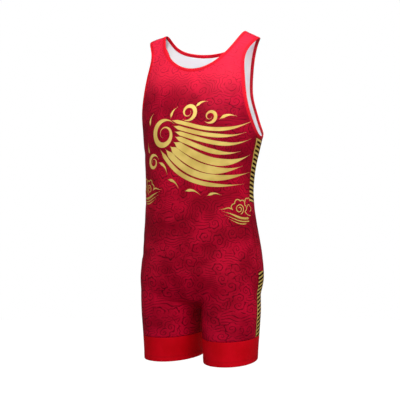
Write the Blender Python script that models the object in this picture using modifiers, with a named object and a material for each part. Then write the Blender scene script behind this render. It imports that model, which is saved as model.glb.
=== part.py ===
"""A sleeveless compression bodysuit with short legs, filled out as it is worn.

It is open at the neck, the arms and the legs. It is cut from a front, a back and two leg bands, with elastic
tape round the neck and both armholes. Every piece is a thin wall whose middle lies on one general figure, so
that neighbours meet edge to edge. The figure is the zero level of a field: ovals for the trunk and the two
legs, run softly together. Lengths are metres. X runs to the wearer's left, Y to the back and Z up. The origin
is between the shoulders, level with the middle of the straps where they rest on them.
"""

import bpy
import numpy as np

# Cloth, tape and seam sizes.
BODY_CLOTH = 0.0014
TAPE_CLOTH = 0.0026
BAND_CLOTH = 0.0018
TAPE_WIDTH = 0.009
BAND_HEIGHT = 0.064
SEAM_GAP = 0.0003
RIDGE_GAP = 0.0005

# Where the hem and the shoulder seam lie, and how the legs stand.
HEM_HEIGHT = -0.849
HEM_TILT = np.radians(4.4)
SHOULDER_SEAM_BACK = 0.009
SHOULDER_ZONE = -0.06
ARMPIT_ZONE = -0.20
LEG_TURN = np.radians(12.0)
STANCE = {1: -0.010, -1: 0.006}
NECK_SKEW = 0.045
RIGHT_SHOULDER_LIFT = 0.009
LIFT_OUT = (0.105, 0.165)
LIFT_UP = (-0.140, -0.030)
RIGHT_STRAP_IN = 0.004
STRAP_ZONE = -0.049

# How softly legs and trunk run together, and how square a leg's sections are.
TRUNK_BLEND = 0.030
CROTCH_BLEND = 0.012
LEG_SQUARENESS = 2.1

# A fold fades out over this depth about the side of the figure, so that it stays on its own face.
SIDE_DEPTH = 0.005
FOLD_FADE = 0.06

# Mesh density for the front (-1) and the back (1): cells across a half panel, those of them under the arm,
# and rows from the leg band up to the crotch, the armpit, the neckline and the shoulder.
COLUMNS = {-1: 14, 1: 16}
UNDER_ARM = {-1: 0, 1: 2}
LEG_ROWS = 4
TRUNK_ROWS = 22
SIDE_ROWS = LEG_ROWS + TRUNK_ROWS
CHEST_ROWS = {-1: 8, 1: 9}
NECK_ROWS = {-1: 10, 1: 9}
BAND_ROWS = 3
CROTCH_ROWS = 10
EASING_ROUNDS = 4
TAPE_COLUMNS = 2
LINE_POINTS = 1200
SEAM_POINTS = 200
ROW_POINTS = 48

# How points are laid on the figure: rounds, the step slopes are measured over, and the least slope trusted.
NEWTON_STEPS = 9
SLOPE_STEP = 1e-4
LEAST_SLOPE = 0.22

# Colours as linear red, green and blue, and how rough the knitted cloth and the tape are.
CRIMSON = (0.46, 0.006, 0.030)
BAND_RED = (0.50, 0.004, 0.008)
TAPE_RED = (0.74, 0.010, 0.018)
CLOTH_ROUGHNESS = 0.60
TAPE_ROUGHNESS = 0.65


def table(columns, *rows):
    """A short table as a dictionary of arrays, one for each named column."""
    return dict(zip(columns.split(), np.array(rows, float).T))


TRUNK = table(
    "height half_width front back squareness",
    (-0.708, 0.012, -0.020, 0.030, 2.1),
    (-0.700, 0.055, -0.056, 0.068, 2.1),
    (-0.684, 0.112, -0.087, 0.096, 2.1),
    (-0.660, 0.148, -0.105, 0.114, 2.1),
    (-0.620, 0.1635, -0.1165, 0.123, 2.1),
    (-0.550, 0.1615, -0.121, 0.112, 2.1),
    (-0.480, 0.1525, -0.123, 0.096, 2.1),
    (-0.407, 0.148, -0.124, 0.088, 2.1),
    (-0.340, 0.153, -0.121, 0.097, 2.1),
    (-0.269, 0.165, -0.115, 0.115, 2.1),
    (-0.200, 0.175, -0.100, 0.116, 2.2),
    (-0.150, 0.184, -0.080, 0.099, 2.3),
    (-0.100, 0.190, -0.058, 0.078, 2.5),
    (-0.048, 0.187, -0.036, 0.058, 2.7),
    (-0.022, 0.174, -0.021, 0.052, 2.6),
    (0.000, 0.1385, -0.008, 0.048, 2.4),
    (0.022, 0.092, 0.000, 0.045, 2.2),
    (0.045, 0.060, 0.006, 0.041, 2.1),
)

LEG = table(
    "height centre_x half_breadth half_depth",
    (-0.870, 0.0880, 0.0670, 0.0885),
    (-0.800, 0.0870, 0.0715, 0.0915),
    (-0.740, 0.0875, 0.0745, 0.0950),
    (-0.690, 0.0865, 0.0755, 0.0985),
    (-0.640, 0.0830, 0.0730, 0.0990),
    (-0.590, 0.0800, 0.0600, 0.0850),
)

# The left half of the neckline, from the middle of the front over the shoulder to the middle of the back.
NECKLINE = table(
    "x y z",
    (0.000, -0.052, -0.089),
    (0.052, -0.042, -0.0755),
    (0.092, -0.020, -0.0385),
    (0.110, 0.002, -0.003),
    (0.116, 0.022, 0.010),
    (0.108, 0.037, -0.005),
    (0.086, 0.044, -0.025),
    (0.048, 0.050, -0.037),
    (0.000, 0.054, -0.041),
)

# The left armhole, from the top of the shoulder down the front, under the arm and up the back.
ARMHOLE = table(
    "x y z",
    (0.161, 0.020, -0.008),
    (0.143, -0.018, -0.044),
    (0.138, -0.032, -0.100),
    (0.146, -0.043, -0.160),
    (0.156, -0.034, -0.220),
    (0.165, 0.000, -0.263),
    (0.155, 0.045, -0.258),
    (0.127, 0.080, -0.226),
    (0.106, 0.083, -0.173),
    (0.112, 0.068, -0.115),
    (0.131, 0.046, -0.050),
    (0.151, 0.034, -0.014),
)

# How far back the side seam lies at each height, and the middle line through the crotch.
SIDE_SEAM = table(
    "height back",
    (-0.860, -0.022),
    (-0.627, -0.013),
    (-0.430, -0.029),
    (-0.263, -0.021),
)
MIDDLE_FRONT = table(
    "y z",
    (0.008, -0.726),
    (-0.040, -0.705),
    (-0.075, -0.690),
    (-0.103, -0.655),
    (-0.117, -0.600),
    (-0.124, -0.480),
    (-0.122, -0.340),
    (-0.110, -0.240),
    (-0.055, -0.098),
)
MIDDLE_BACK = table(
    "y z",
    (0.008, -0.726),
    (0.050, -0.706),
    (0.088, -0.688),
    (0.116, -0.645),
    (0.122, -0.590),
    (0.090, -0.450),
    (0.104, -0.340),
    (0.115, -0.220),
    (0.057, -0.050),
)

# How far each row's axis lies from the middle: at the leg's own centre low down, at the trunk's higher up.
ROW_AXIS = table(
    "height out",
    (-0.860, 0.088),
    (-0.720, 0.086),
    (-0.660, 0.055),
    (-0.560, 0.010),
    (-0.400, 0.000),
    (0.050, 0.000),
)

# Soft folds: where each lies, its length and width, its slant in degrees, and its rise, negative if it sinks.
FOLDS = table(
    "facing x z length width slant rise",
    (-1, -0.050, -0.505, 0.130, 0.025, -8, -0.0016),
    (-1, -0.085, -0.548, 0.110, 0.023, -4, -0.0014),
    (-1, 0.070, -0.560, 0.150, 0.026, 12, -0.0016),
    (-1, 0.040, -0.600, 0.110, 0.022, 8, -0.0013),
    (-1, -0.060, -0.662, 0.124, 0.022, 102, 0.0016),
    (-1, 0.060, -0.662, 0.124, 0.022, 78, 0.0016),
    (-1, -0.108, -0.670, 0.138, 0.022, 94, -0.0014),
    (-1, 0.110, -0.670, 0.138, 0.022, 84, -0.0014),
    (-1, -0.125, -0.300, 0.080, 0.023, 30, -0.0014),
    (-1, 0.125, -0.290, 0.080, 0.023, -30, -0.0014),
    (1, 0.060, -0.430, 0.150, 0.026, 10, -0.0018),
    (1, -0.060, -0.470, 0.150, 0.026, -8, -0.0018),
    (1, 0.030, -0.395, 0.120, 0.023, -6, -0.0014),
    (1, -0.070, -0.640, 0.100, 0.028, 24, -0.0018),
    (1, 0.070, -0.640, 0.100, 0.028, -24, -0.0018),
    (1, 0.085, -0.700, 0.110, 0.025, 6, -0.0014),
    (1, -0.085, -0.705, 0.110, 0.025, -4, -0.0014),
)


def spline(knots, values):
    """A natural cubic curve through values at increasing knots, as a function of any array."""
    knots = np.asarray(knots, float)
    values = np.asarray(values, float)
    steps = np.diff(knots)
    slopes = np.diff(values, axis=0) / steps.reshape((-1,) + (1,) * (values.ndim - 1))
    matrix = np.eye(len(knots))
    bends = np.zeros_like(values)
    for i in range(1, len(knots) - 1):
        matrix[i, i - 1 : i + 2] = steps[i - 1], 2 * (steps[i - 1] + steps[i]), steps[i]
        bends[i] = 6 * (slopes[i] - slopes[i - 1])
    bends = np.linalg.solve(matrix, bends)

    def at(x):
        x = np.clip(x, knots[0], knots[-1])
        i = np.clip(np.searchsorted(knots, x) - 1, 0, len(steps) - 1)
        h = steps[i]
        a = (knots[i + 1] - x) / h
        b = 1 - a
        if values.ndim > 1:
            a, b, h = a[..., None], b[..., None], h[..., None]
        cubic = (a**3 - a) * bends[i] + (b**3 - b) * bends[i + 1]
        return a * values[i] + b * values[i + 1] + cubic * h**2 / 6

    return at


def column_curves(rows):
    """One smooth curve for each column of a table, against its height column."""
    return {name: spline(rows["height"], rows[name]) for name in rows if name != "height"}


TRUNK_AT = column_curves(TRUNK)
LEG_AT = column_curves(LEG)
SIDE_SEAM_AT = column_curves(SIDE_SEAM)["back"]
ROW_AXIS_AT = column_curves(ROW_AXIS)["out"]


def oval(across, along, half_across, half_along, squareness):
    """How far a point lies outside a rounded oval, roughly in metres; negative inside it."""
    reach = np.abs(across / half_across) ** squareness + np.abs(along / half_along) ** squareness
    return (reach ** (1 / squareness) - 1) * np.minimum(half_across, half_along)


def beyond(height, rows):
    """How far a height lies past the ends of a table."""
    lowest, highest = rows["height"][0], rows["height"][-1]
    return np.maximum(lowest - height, 0) + np.maximum(height - highest, 0)


def smooth_share(place, start, end):
    """From 0 to 1 between two places: three times the square of the share, less twice its cube."""
    share = np.clip((place - start) / (end - start), 0, 1)
    return share**2 * (3 - 2 * share)


def trunk_field(points):
    """Distance-like field of the trunk, whose sections are ovals between the front and back depths.

    The wearer's right shoulder rises a little towards its outer end.
    """
    x, y, z = np.moveaxis(points, -1, 0)
    z = z - RIGHT_SHOULDER_LIFT * smooth_share(-x, *LIFT_OUT) * smooth_share(z, *LIFT_UP)
    front, back = TRUNK_AT["front"](z), TRUNK_AT["back"](z)
    half_width, squareness = TRUNK_AT["half_width"](z), TRUNK_AT["squareness"](z)
    outside = oval(x, y - (front + back) / 2, half_width, (back - front) / 2, squareness)
    return outside + beyond(z, TRUNK)


def leg_centre(height, side):
    """X and Y of a leg's axis, which leans with the stance below the hip."""
    lean = (LEG["height"][-1] - height) / (LEG["height"][-1] - HEM_HEIGHT)
    return side * LEG_AT["centre_x"](height), STANCE[side] * lean


def leg_field(points, side):
    """Distance-like field of one leg, an oval turned outwards by LEG_TURN."""
    x, y, z = np.moveaxis(points, -1, 0)
    centre_x, centre_y = leg_centre(z, side)
    turn = side * LEG_TURN
    across = (x - centre_x) * np.cos(turn) + (y - centre_y) * np.sin(turn)
    along = (y - centre_y) * np.cos(turn) - (x - centre_x) * np.sin(turn)
    half_breadth, half_depth = LEG_AT["half_breadth"](z), LEG_AT["half_depth"](z)
    return oval(across, along, half_breadth, half_depth, LEG_SQUARENESS) + beyond(z, LEG)


def soft_union(a, b, blend):
    """The union of two fields with a rounded valley of the given width."""
    nearness = np.maximum(blend - np.abs(a - b), 0) / blend
    return np.minimum(a, b) - nearness**2 * blend / 4


def folds(points):
    """Height of the soft folds: each is a bell along its length and across its width, on its own face."""
    x, y, z = np.moveaxis(points, -1, 0)
    total = np.zeros_like(x)
    for i in range(len(FOLDS["x"])):
        row = {name: column[i] for name, column in FOLDS.items()}
        slant = np.radians(row["slant"])
        right, up = x - row["x"], z - row["z"]
        along = (right * np.cos(slant) + up * np.sin(slant)) / (row["length"] / 2)
        across = (up * np.cos(slant) - right * np.sin(slant)) / (row["width"] / 2)
        face = np.clip(0.5 + row["facing"] * (y - SIDE_DEPTH) / FOLD_FADE, 0, 1)
        total += row["rise"] * face * np.exp(-(along**2) - across**2)
    return total


def figure(points):
    """Field of the whole figure with its folds: zero on its surface, negative inside."""
    legs = soft_union(leg_field(points, 1), leg_field(points, -1), CROTCH_BLEND)
    return soft_union(trunk_field(points), legs, TRUNK_BLEND) - folds(points)


def slope(points):
    """Gradient of the figure's field, by central differences."""
    steps = np.eye(3) * SLOPE_STEP
    rises = [figure(points + step) - figure(points - step) for step in steps]
    return np.stack(rises, axis=-1) / (2 * SLOPE_STEP)


def settled(points, level=None):
    """Points moved square to the figure until they lie on it, within planes of a normal if one is given."""
    points = np.array(points, float)
    for _ in range(NEWTON_STEPS):
        steepest = slope(points)
        if level is not None:
            steepest -= (steepest @ level)[..., None] * level
        size = np.maximum(np.linalg.norm(steepest, axis=-1, keepdims=True), LEAST_SLOPE)
        points -= steepest * figure(points)[..., None] / size**2
    return points


ACROSS = np.array([1.0, 0.0, 0.0])
UPRIGHT = np.array([0.0, 0.0, 1.0])
HEM_PLANE = np.array([0.0, -np.sin(HEM_TILT), np.cos(HEM_TILT)])


def lengths_along(points):
    """Running length at each point of a line."""
    steps = np.linalg.norm(np.diff(points, axis=0), axis=1)
    return np.concatenate([[0], np.cumsum(steps)])


def at_shares(points, portions):
    """Points at the given portions of a line's length."""
    run = lengths_along(points)
    return np.stack([np.interp(portions * run[-1], run, column) for column in points.T], axis=-1)


def shares(points, cells):
    """Points that cut a line into equal lengths."""
    return at_shares(points, np.linspace(0, 1, cells + 1))


def curve_through(guide, count, level=None):
    """A smooth line through guide points, laid on the figure."""
    run = lengths_along(guide)
    return settled(spline(run, guide)(np.linspace(0, run[-1], count)), level)


def loop_through(guide):
    """A smooth closed line through guide points, laid on the figure, without its first point repeated."""
    lapped = np.concatenate([guide[-3:], guide, guide[:4]])
    run = lengths_along(lapped)
    return settled(spline(run, lapped)(np.linspace(run[3], run[-4], LINE_POINTS + 1)[:-1]))


def moved_into_cloth(loop, distance):
    """A finished edge moved into the cloth: along the figure, away from the middle of its opening."""
    tangent = np.roll(loop, -1, axis=0) - np.roll(loop, 1, axis=0)
    across = np.cross(tangent, slope(loop))
    across /= np.linalg.norm(across, axis=1, keepdims=True)
    outward = ((loop - loop.mean(axis=0)) * across).sum(axis=1, keepdims=True)
    return settled(loop + across * np.sign(np.median(outward)) * distance)


def xyz(rows):
    """The points of a table with x, y and z columns."""
    return np.stack([rows["x"], rows["y"], rows["z"]], axis=-1)


def neck_edge():
    """The finished neckline, from the middle of the front over the left shoulder and round by the right."""
    left = xyz(NECKLINE)
    loop = np.concatenate([left[:-1], left[:0:-1] * [-1, 1, 1]])
    behind = np.clip(loop[:, 1] / NECKLINE["y"][-1], 0, 1)
    loop[:, 2] += NECK_SKEW * loop[:, 0] * behind
    return loop_through(loop)


def armhole_edge(side):
    """The finished armhole of one side. The wearer's right strap ends a little further in."""
    loop = xyz(ARMHOLE)
    loop[:, 0] -= RIGHT_STRAP_IN * (side < 0) * (loop[:, 2] > STRAP_ZONE)
    return loop_through(loop * [side, 1, 1])


def pick(loop, candidates, wanted_y):
    """Which of the candidate stations on a loop has its Y nearest the wanted one."""
    return int(np.argmin(np.where(candidates, np.abs(loop[:, 1] - wanted_y), np.inf)))


def run_between(loop, start, end, towards, axis):
    """Stations along a loop from start to end, by the way that keeps to the low or high end of an axis."""
    count = len(loop)
    forward = np.mod(start + np.arange(np.mod(end - start, count) + 1), count)
    backward = np.mod(start - np.arange(np.mod(start - end, count) + 1), count)
    ways = sorted((forward, backward), key=lambda run: loop[run, axis].mean())
    return ways[0] if towards < 0 else ways[1]


def equal_stations(loop, run, cells):
    """Stations of a run that cut it into nearly equal lengths."""
    length = lengths_along(loop[run])
    wanted = np.linspace(0, length[-1], cells + 1)
    return run[np.round(np.interp(wanted, length, np.arange(len(run)))).astype(int)]


def opening(edge):
    """A finished edge with the lines on both sides of the seam between its tape and the cloth."""
    near, far = TAPE_WIDTH - SEAM_GAP / 2, TAPE_WIDTH + SEAM_GAP / 2
    return {"edge": edge, "tape": moved_into_cloth(edge, near), "cloth": moved_into_cloth(edge, far)}


NECK = opening(neck_edge())
ARMHOLES = {side: opening(armhole_edge(side)) for side in (1, -1)}


def shoulder_station(loop, side):
    """Where a loop crosses the shoulder seam on one side."""
    return pick(loop, (loop[:, 2] > SHOULDER_ZONE) & (loop[:, 0] * side > 0), SHOULDER_SEAM_BACK)


def neck_stations(facing, side):
    """Shared stations on the neckline from the middle of the front or the back up to one shoulder seam."""
    loop = NECK["cloth"]
    middle = 0 if facing < 0 else LINE_POINTS // 2
    run = run_between(loop, middle, shoulder_station(loop, side), side, axis=0)
    return equal_stations(loop, run, NECK_ROWS[facing])


def armhole_stations(facing, side):
    """Shared stations on an armhole from the side seam up to the shoulder seam."""
    loop = ARMHOLES[side]["cloth"]
    armpit = pick(loop, loop[:, 2] < ARMPIT_ZONE, SIDE_SEAM["back"][-1])
    run = run_between(loop, armpit, shoulder_station(loop, side), facing, axis=1)
    return equal_stations(loop, run, UNDER_ARM[facing] + CHEST_ROWS[facing] + NECK_ROWS[facing])


def swept_about(centre, start, end, turning):
    """Points between two ends by angle, radius and height about upright axes, then laid on the figure."""
    t = np.linspace(0, 1, ROW_POINTS)
    first, last = start - centre, end - centre
    angle = np.arctan2(first[:, 1], first[:, 0])
    sweep = (np.arctan2(last[:, 1], last[:, 0]) - angle) * turning
    sweep = (np.mod(sweep + np.pi / 2, 2 * np.pi) - np.pi / 2) * turning
    first_radius, last_radius = np.hypot(*first[:, :2].T), np.hypot(*last[:, :2].T)
    radius = first_radius[:, None] * (1 - t) + last_radius[:, None] * t
    angle = angle[:, None] + sweep[:, None] * t
    x = centre[:, :1] + radius * np.cos(angle)
    y = centre[:, 1:2] + radius * np.sin(angle)
    z = start[:, 2:] * (1 - t) + end[:, 2:] * t
    z = z + hem_droop(y - start[:, 1:2] * (1 - t) - end[:, 1:2] * t, z)
    return settled(np.stack([x, y, z], axis=-1))


def hem_droop(back, z):
    """How much lower a row hangs at the front: tilted as the hem at the leg band, and level at the crotch."""
    low, high = HEM_HEIGHT + BAND_HEIGHT, MIDDLE_FRONT["z"][0]
    return np.tan(HEM_TILT) * back * np.clip((high - z) / (high - low), 0, 1)


def leg_row(facing, side, above_hem):
    """Points half round a leg, level with the hem, from the inseam to the side seam."""
    height = np.array(HEM_HEIGHT + above_hem)
    centre_x, centre_y = leg_centre(height, side)
    breadth = LEG_AT["half_breadth"](height)
    ends = []
    for x, y in ((centre_x - side * breadth, centre_y), (centre_x + side * breadth, SIDE_SEAM_AT(height))):
        on_plane = height + np.tan(HEM_TILT) * (y - centre_y)
        ends.append(settled(np.array([[x, y, on_plane]]), HEM_PLANE))
    centre = np.array([[centre_x, centre_y, height]])
    row = swept_about(centre, *ends, -facing * side)[0]
    row[:, 2] = height + np.tan(HEM_TILT) * (row[:, 1] - centre_y)
    row = settled(row, HEM_PLANE)
    return settled(shares(row, COLUMNS[facing]), HEM_PLANE)


def eased(grid):
    """A grid whose inner points near the crotch have slid along the figure to lie amid their neighbours."""
    row, column = np.mgrid[1:CROTCH_ROWS, 1 : grid.shape[1] - 1]
    for _ in range(EASING_ROUNDS):
        upright = grid[row - 1, column] + grid[row + 1, column]
        level = grid[row, column - 1] + grid[row, column + 1]
        grid[row, column] = settled((upright + level) / 4)
    return grid


def half_panel(facing, side):
    """Grid of points over one side of the front (-1) or the back (1), in rows from the leg band up.

    Each row runs from the inseam, the middle or the neckline to the side seam or the armhole. At the back
    the armhole first runs under the arm, along the top of the columns that end there.
    """
    under = UNDER_ARM[facing]
    upper_columns = COLUMNS[facing] - under
    neck = NECK["cloth"][neck_stations(facing, side)]
    armhole = ARMHOLES[side]["cloth"][armhole_stations(facing, side)]
    bottom = leg_row(facing, side, BAND_HEIGHT + SEAM_GAP / 2)
    crotch = settled(np.array([0, MIDDLE_FRONT["y"][0], MIDDLE_FRONT["z"][0]]), ACROSS)

    inseam = curve_through(np.array([bottom[0], (bottom[0] + crotch) / 2, crotch]), SEAM_POINTS)
    rows = MIDDLE_FRONT if facing < 0 else MIDDLE_BACK
    guide = np.stack([0 * rows["y"], rows["y"], rows["z"]], axis=-1)
    guide[0], guide[-1] = crotch, neck[0]
    middle = curve_through(guide, SEAM_POINTS, ACROSS)
    chest = int(np.searchsorted(middle[:, 2], armhole[under, 2]))

    heights = np.linspace(bottom[-1, 2], armhole[0, 2], SEAM_POINTS)
    wide = np.full_like(heights, side * TRUNK["half_width"].max())
    seam = settled(np.stack([wide, SIDE_SEAM_AT(heights), heights], axis=-1), UPRIGHT)
    seam[0], seam[-1] = bottom[-1], armhole[0]

    middle_rows = [shares(middle[: chest + 1], TRUNK_ROWS), shares(middle[chest:], CHEST_ROWS[facing])]
    inner = np.concatenate([shares(inseam, LEG_ROWS), middle_rows[0][1:], middle_rows[1][1:], neck[1:]])
    lower, upper = shares(seam, SIDE_ROWS)[:-1], armhole[under:]
    outer = np.concatenate([lower, upper])
    middle_height = (inner[:, 2] + outer[:, 2]) / 2
    centre = np.stack([side * ROW_AXIS_AT(middle_height), 0 * middle_height, middle_height], axis=-1)
    swept = swept_about(centre, inner, outer, -facing * side)

    grid = np.full((len(inner), COLUMNS[facing] + 1, 3), np.nan)
    grid[:SIDE_ROWS] = settled(np.array([shares(row, COLUMNS[facing]) for row in swept[:SIDE_ROWS]]))
    above = settled(np.array([shares(row, upper_columns) for row in swept[SIDE_ROWS:]]))
    grid[SIDE_ROWS:, : upper_columns + 1] = above
    grid[SIDE_ROWS, upper_columns:] = armhole[under::-1] if under else armhole[:1]
    grid[:, 0], grid[0] = inner, bottom
    grid[:SIDE_ROWS, -1], grid[SIDE_ROWS:, upper_columns] = lower, upper
    return open_seams(eased(grid), upper_columns)


def nudged(edge, neighbours, distance):
    """Edge points moved towards their neighbours by a distance."""
    way = neighbours - edge
    return edge + way / np.linalg.norm(way, axis=-1, keepdims=True) * distance


def open_seams(grid, upper_columns):
    """A half panel drawn back from its inseam, side seam and shoulder seam by half the gap at a seam.

    The gap is wider over the shoulder and at the crotch, where the cloth bends most and its faces lean.
    """
    grid = grid.copy()
    leg, side, strap = slice(0, LEG_ROWS), slice(0, SIDE_ROWS + 1), slice(0, upper_columns + 1)
    grid[leg, 0] = nudged(grid[leg, 0], grid[leg, 1], SEAM_GAP / 2)
    grid[LEG_ROWS, 0] = nudged(grid[LEG_ROWS, 0], grid[LEG_ROWS + 1, 0], RIDGE_GAP)
    grid[side, -1] = nudged(grid[side, -1], grid[side, -2], SEAM_GAP / 2)
    grid[-1, strap] = nudged(grid[-1, strap], grid[-2, strap], RIDGE_GAP / 2)
    return grid


def grid_faces(numbers):
    """Faces over a grid of point numbers, as rows of four corners."""
    corners = numbers[:-1, :-1], numbers[:-1, 1:], numbers[1:, 1:], numbers[1:, :-1]
    return np.stack(corners, axis=-1).reshape(-1, 4)


def facing_out(points, faces):
    """The faces, all turned over if they point into the figure."""
    corners = points[faces]
    across = np.cross(corners[:, 2] - corners[:, 0], corners[:, 3] - corners[:, 1])
    outward = (across * slope(corners.mean(axis=1))).sum(axis=1)
    return faces if outward.sum() > 0 else faces[:, ::-1]


def panel(facing):
    """The points and faces of the front or the back, its two sides joined along the middle."""
    left, right = half_panel(facing, 1), half_panel(facing, -1)
    shared = slice(LEG_ROWS, SIDE_ROWS + CHEST_ROWS[facing] + 1)
    crotch = (left[shared, 0] + right[shared, 0]) / 2
    left[shared, 0] = crotch
    left_numbers = np.arange(left[..., 0].size).reshape(left.shape[:2])
    right_numbers = left_numbers + left_numbers.size
    right_numbers[shared, 0] = left_numbers[shared, 0]
    points = np.concatenate([left.reshape(-1, 3), right.reshape(-1, 3)])
    faces = []
    for numbers in (left_numbers, right_numbers):
        cells = grid_faces(numbers)
        whole = ~np.isnan(points[cells]).any(axis=(1, 2))
        faces.append(facing_out(points, cells[whole]))
    faces = np.concatenate(faces)
    used, renumbered = np.unique(faces, return_inverse=True)
    return points[used], renumbered.reshape(faces.shape)


def ring(columns):
    """The points and faces of a closed band, from a list of loops across its width."""
    points = np.stack(columns)
    numbers = np.arange(points[..., 0].size).reshape(points.shape[:2])
    faces = grid_faces(np.concatenate([numbers, numbers[:, :1]], axis=1))
    points = points.reshape(-1, 3)
    return points, facing_out(points, faces)


def tape(hole, stations):
    """A tape from a finished edge to its seam."""
    t = np.linspace(0, 1, TAPE_COLUMNS + 1)[:, None, None]
    edge, seam = hole["edge"][stations], hole["tape"][stations]
    loops = settled(edge * (1 - t) + seam * t)
    return ring(list(loops))


def neck_tape():
    """The tape round the neckline, at the stations that the front and the back use."""
    left = [neck_stations(-1, 1)[:-1], neck_stations(1, 1)[:0:-1]]
    right = [neck_stations(1, -1)[:-1], neck_stations(-1, -1)[:0:-1]]
    return tape(NECK, np.concatenate(left + right))


def armhole_tape(side):
    """The tape round one armhole, at the stations that the front and the back use."""
    runs = [armhole_stations(-1, side)[:-1], armhole_stations(1, side)[:0:-1]]
    return tape(ARMHOLES[side], np.concatenate(runs))


def leg_band(side):
    """A leg band from its seam down to the hem."""
    loops = []
    for above_hem in np.linspace(0, BAND_HEIGHT - SEAM_GAP / 2, BAND_ROWS + 1):
        front, back = (leg_row(facing, side, above_hem) for facing in (-1, 1))
        loops.append(np.concatenate([front[:-1], back[:0:-1]]))
    return ring(loops)


def clear_scene():
    """Removes everything the default scene holds."""
    for item in list(bpy.data.objects):
        bpy.data.objects.remove(item, do_unlink=True)


def cloth_piece(name, shape, thickness, colour, roughness):
    """Adds one piece: its open surface, a Solidify modifier for the cloth's thickness, and its material."""
    points, faces = shape
    mesh = bpy.data.meshes.new(name)
    mesh.from_pydata(points.tolist(), [], faces.tolist())
    mesh.shade_smooth()
    piece = bpy.data.objects.new(name, mesh)
    suit.objects.link(piece)
    wall = piece.modifiers.new("Cloth", "SOLIDIFY")
    wall.thickness = thickness
    wall.offset = 0
    wall.use_even_offset = True
    finish = bpy.data.materials.new(name)
    finish.use_nodes = True
    shader = finish.node_tree.nodes["Principled BSDF"]
    shader.inputs["Base Color"].default_value = (*colour, 1)
    shader.inputs["Roughness"].default_value = roughness
    shader.inputs["Metallic"].default_value = 0
    mesh.materials.append(finish)


clear_scene()
suit = bpy.data.collections.new("compression_bodysuit")
bpy.context.scene.collection.children.link(suit)

cloth_piece("front", panel(-1), BODY_CLOTH, CRIMSON, CLOTH_ROUGHNESS)
cloth_piece("back", panel(1), BODY_CLOTH, CRIMSON, CLOTH_ROUGHNESS)
cloth_piece("neck_binding", neck_tape(), TAPE_CLOTH, TAPE_RED, TAPE_ROUGHNESS)
for side, word in ((1, "left"), (-1, "right")):
    cloth_piece("armhole_binding_" + word, armhole_tape(side), TAPE_CLOTH, TAPE_RED, TAPE_ROUGHNESS)
    cloth_piece("leg_band_" + word, leg_band(side), BAND_CLOTH, BAND_RED, CLOTH_ROUGHNESS)
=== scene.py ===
"""The looks of a sleeveless compression bodysuit with short legs, filled out as it is worn.

Each piece of cloth is a thin shell on one smooth figure: the zero level of a field, made of ovals for the
trunk and the two legs that run softly together. The shells are worked out on fine grids, moved square to the
figure by the depth of their creases, and given their thickness. Tapes and leg bands are closed sections
carried round their openings. Printed ornament lies on the cloth as thin films: ribbons and strips drawn in
the cut's own coordinates, metres across from the middle and metres up.

Lengths are metres. X runs to the wearer's left, Y to the back and Z up, and the origin is between the
shoulders. A side is 1 for the wearer's left and -1 for the right. Facing is -1 for the front and 1 for the
back.
"""

import bpy
import numpy as np
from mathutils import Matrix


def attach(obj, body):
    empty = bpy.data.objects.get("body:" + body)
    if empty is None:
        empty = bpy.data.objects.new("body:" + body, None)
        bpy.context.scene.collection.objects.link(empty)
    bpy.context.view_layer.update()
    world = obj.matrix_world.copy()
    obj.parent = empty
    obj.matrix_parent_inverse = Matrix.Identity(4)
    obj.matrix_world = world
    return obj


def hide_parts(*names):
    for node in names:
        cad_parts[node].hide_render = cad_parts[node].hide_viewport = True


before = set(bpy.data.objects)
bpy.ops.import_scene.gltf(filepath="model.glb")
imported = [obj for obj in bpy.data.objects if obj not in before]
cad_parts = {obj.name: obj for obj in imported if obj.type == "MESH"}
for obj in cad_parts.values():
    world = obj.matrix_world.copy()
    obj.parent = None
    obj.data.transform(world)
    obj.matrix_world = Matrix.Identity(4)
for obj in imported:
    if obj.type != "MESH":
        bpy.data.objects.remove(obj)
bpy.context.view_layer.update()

# Cloth, tape and seam sizes, as in the solids, and how far a tape's seam lies from the opening's edge.
BODY_CLOTH = 0.0014
TAPE_CLOTH = 0.0026
BAND_CLOTH = 0.0018
TAPE_WIDTH = 0.009
BAND_HEIGHT = 0.064
SEAM_GAP = 0.0003
RIDGE_GAP = 0.0005
TAPE_REACH = TAPE_WIDTH + SEAM_GAP / 2

# The hem's height and tilt, how far back the shoulder seam lies, and the heights that bound the shoulder and
# the armpit.
HEM_HEIGHT = -0.849
HEM_TILT = np.radians(4.4)
SHOULDER_SEAM_BACK = 0.009
SHOULDER_ZONE = -0.06
ARMPIT_ZONE = -0.20

# The legs are turned out, and the left one stands a little forward of the right.
LEG_TURN = np.radians(12.0)
LEG_SQUARENESS = 2.1
STANCE = {1: -0.010, -1: 0.006}

# The right shoulder is higher than the left, by a lift that sets in over a stretch out and a stretch up.
RIGHT_SHOULDER_LIFT = 0.009
LIFT_OUT = (0.105, 0.165)
LIFT_UP = (-0.140, -0.030)

# The neckline's back rises to the left by a share of the way out, and the right strap's top ends further in.
NECK_SKEW = 0.045
RIGHT_STRAP_IN = 0.004
STRAP_ZONE = -0.049

# How softly the trunk runs into the legs, and the legs into each other.
TRUNK_BLEND = 0.030
CROTCH_BLEND = 0.012

# A fold fades out over this depth about the side of the figure, so that it stays on its own face.
SIDE_DEPTH = 0.005
FOLD_FADE = 0.06

# The coarse grid that each panel starts from, on each face, and how much finer it is made.
COLUMNS = {-1: 14, 1: 16}
UNDER_ARM = {-1: 0, 1: 2}
LEG_ROWS = 4
TRUNK_ROWS = 22
SIDE_ROWS = LEG_ROWS + TRUNK_ROWS
CHEST_ROWS = {-1: 8, 1: 9}
NECK_ROWS = {-1: 10, 1: 9}
CROTCH_ROWS = 10
EASING_ROUNDS = 4
DETAIL = 5

# Points on an opening's edge, on a seam's line and on a row across a panel, before they are evened out.
LINE_POINTS = 1200
SEAM_POINTS = 200
ROW_POINTS = 48

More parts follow.
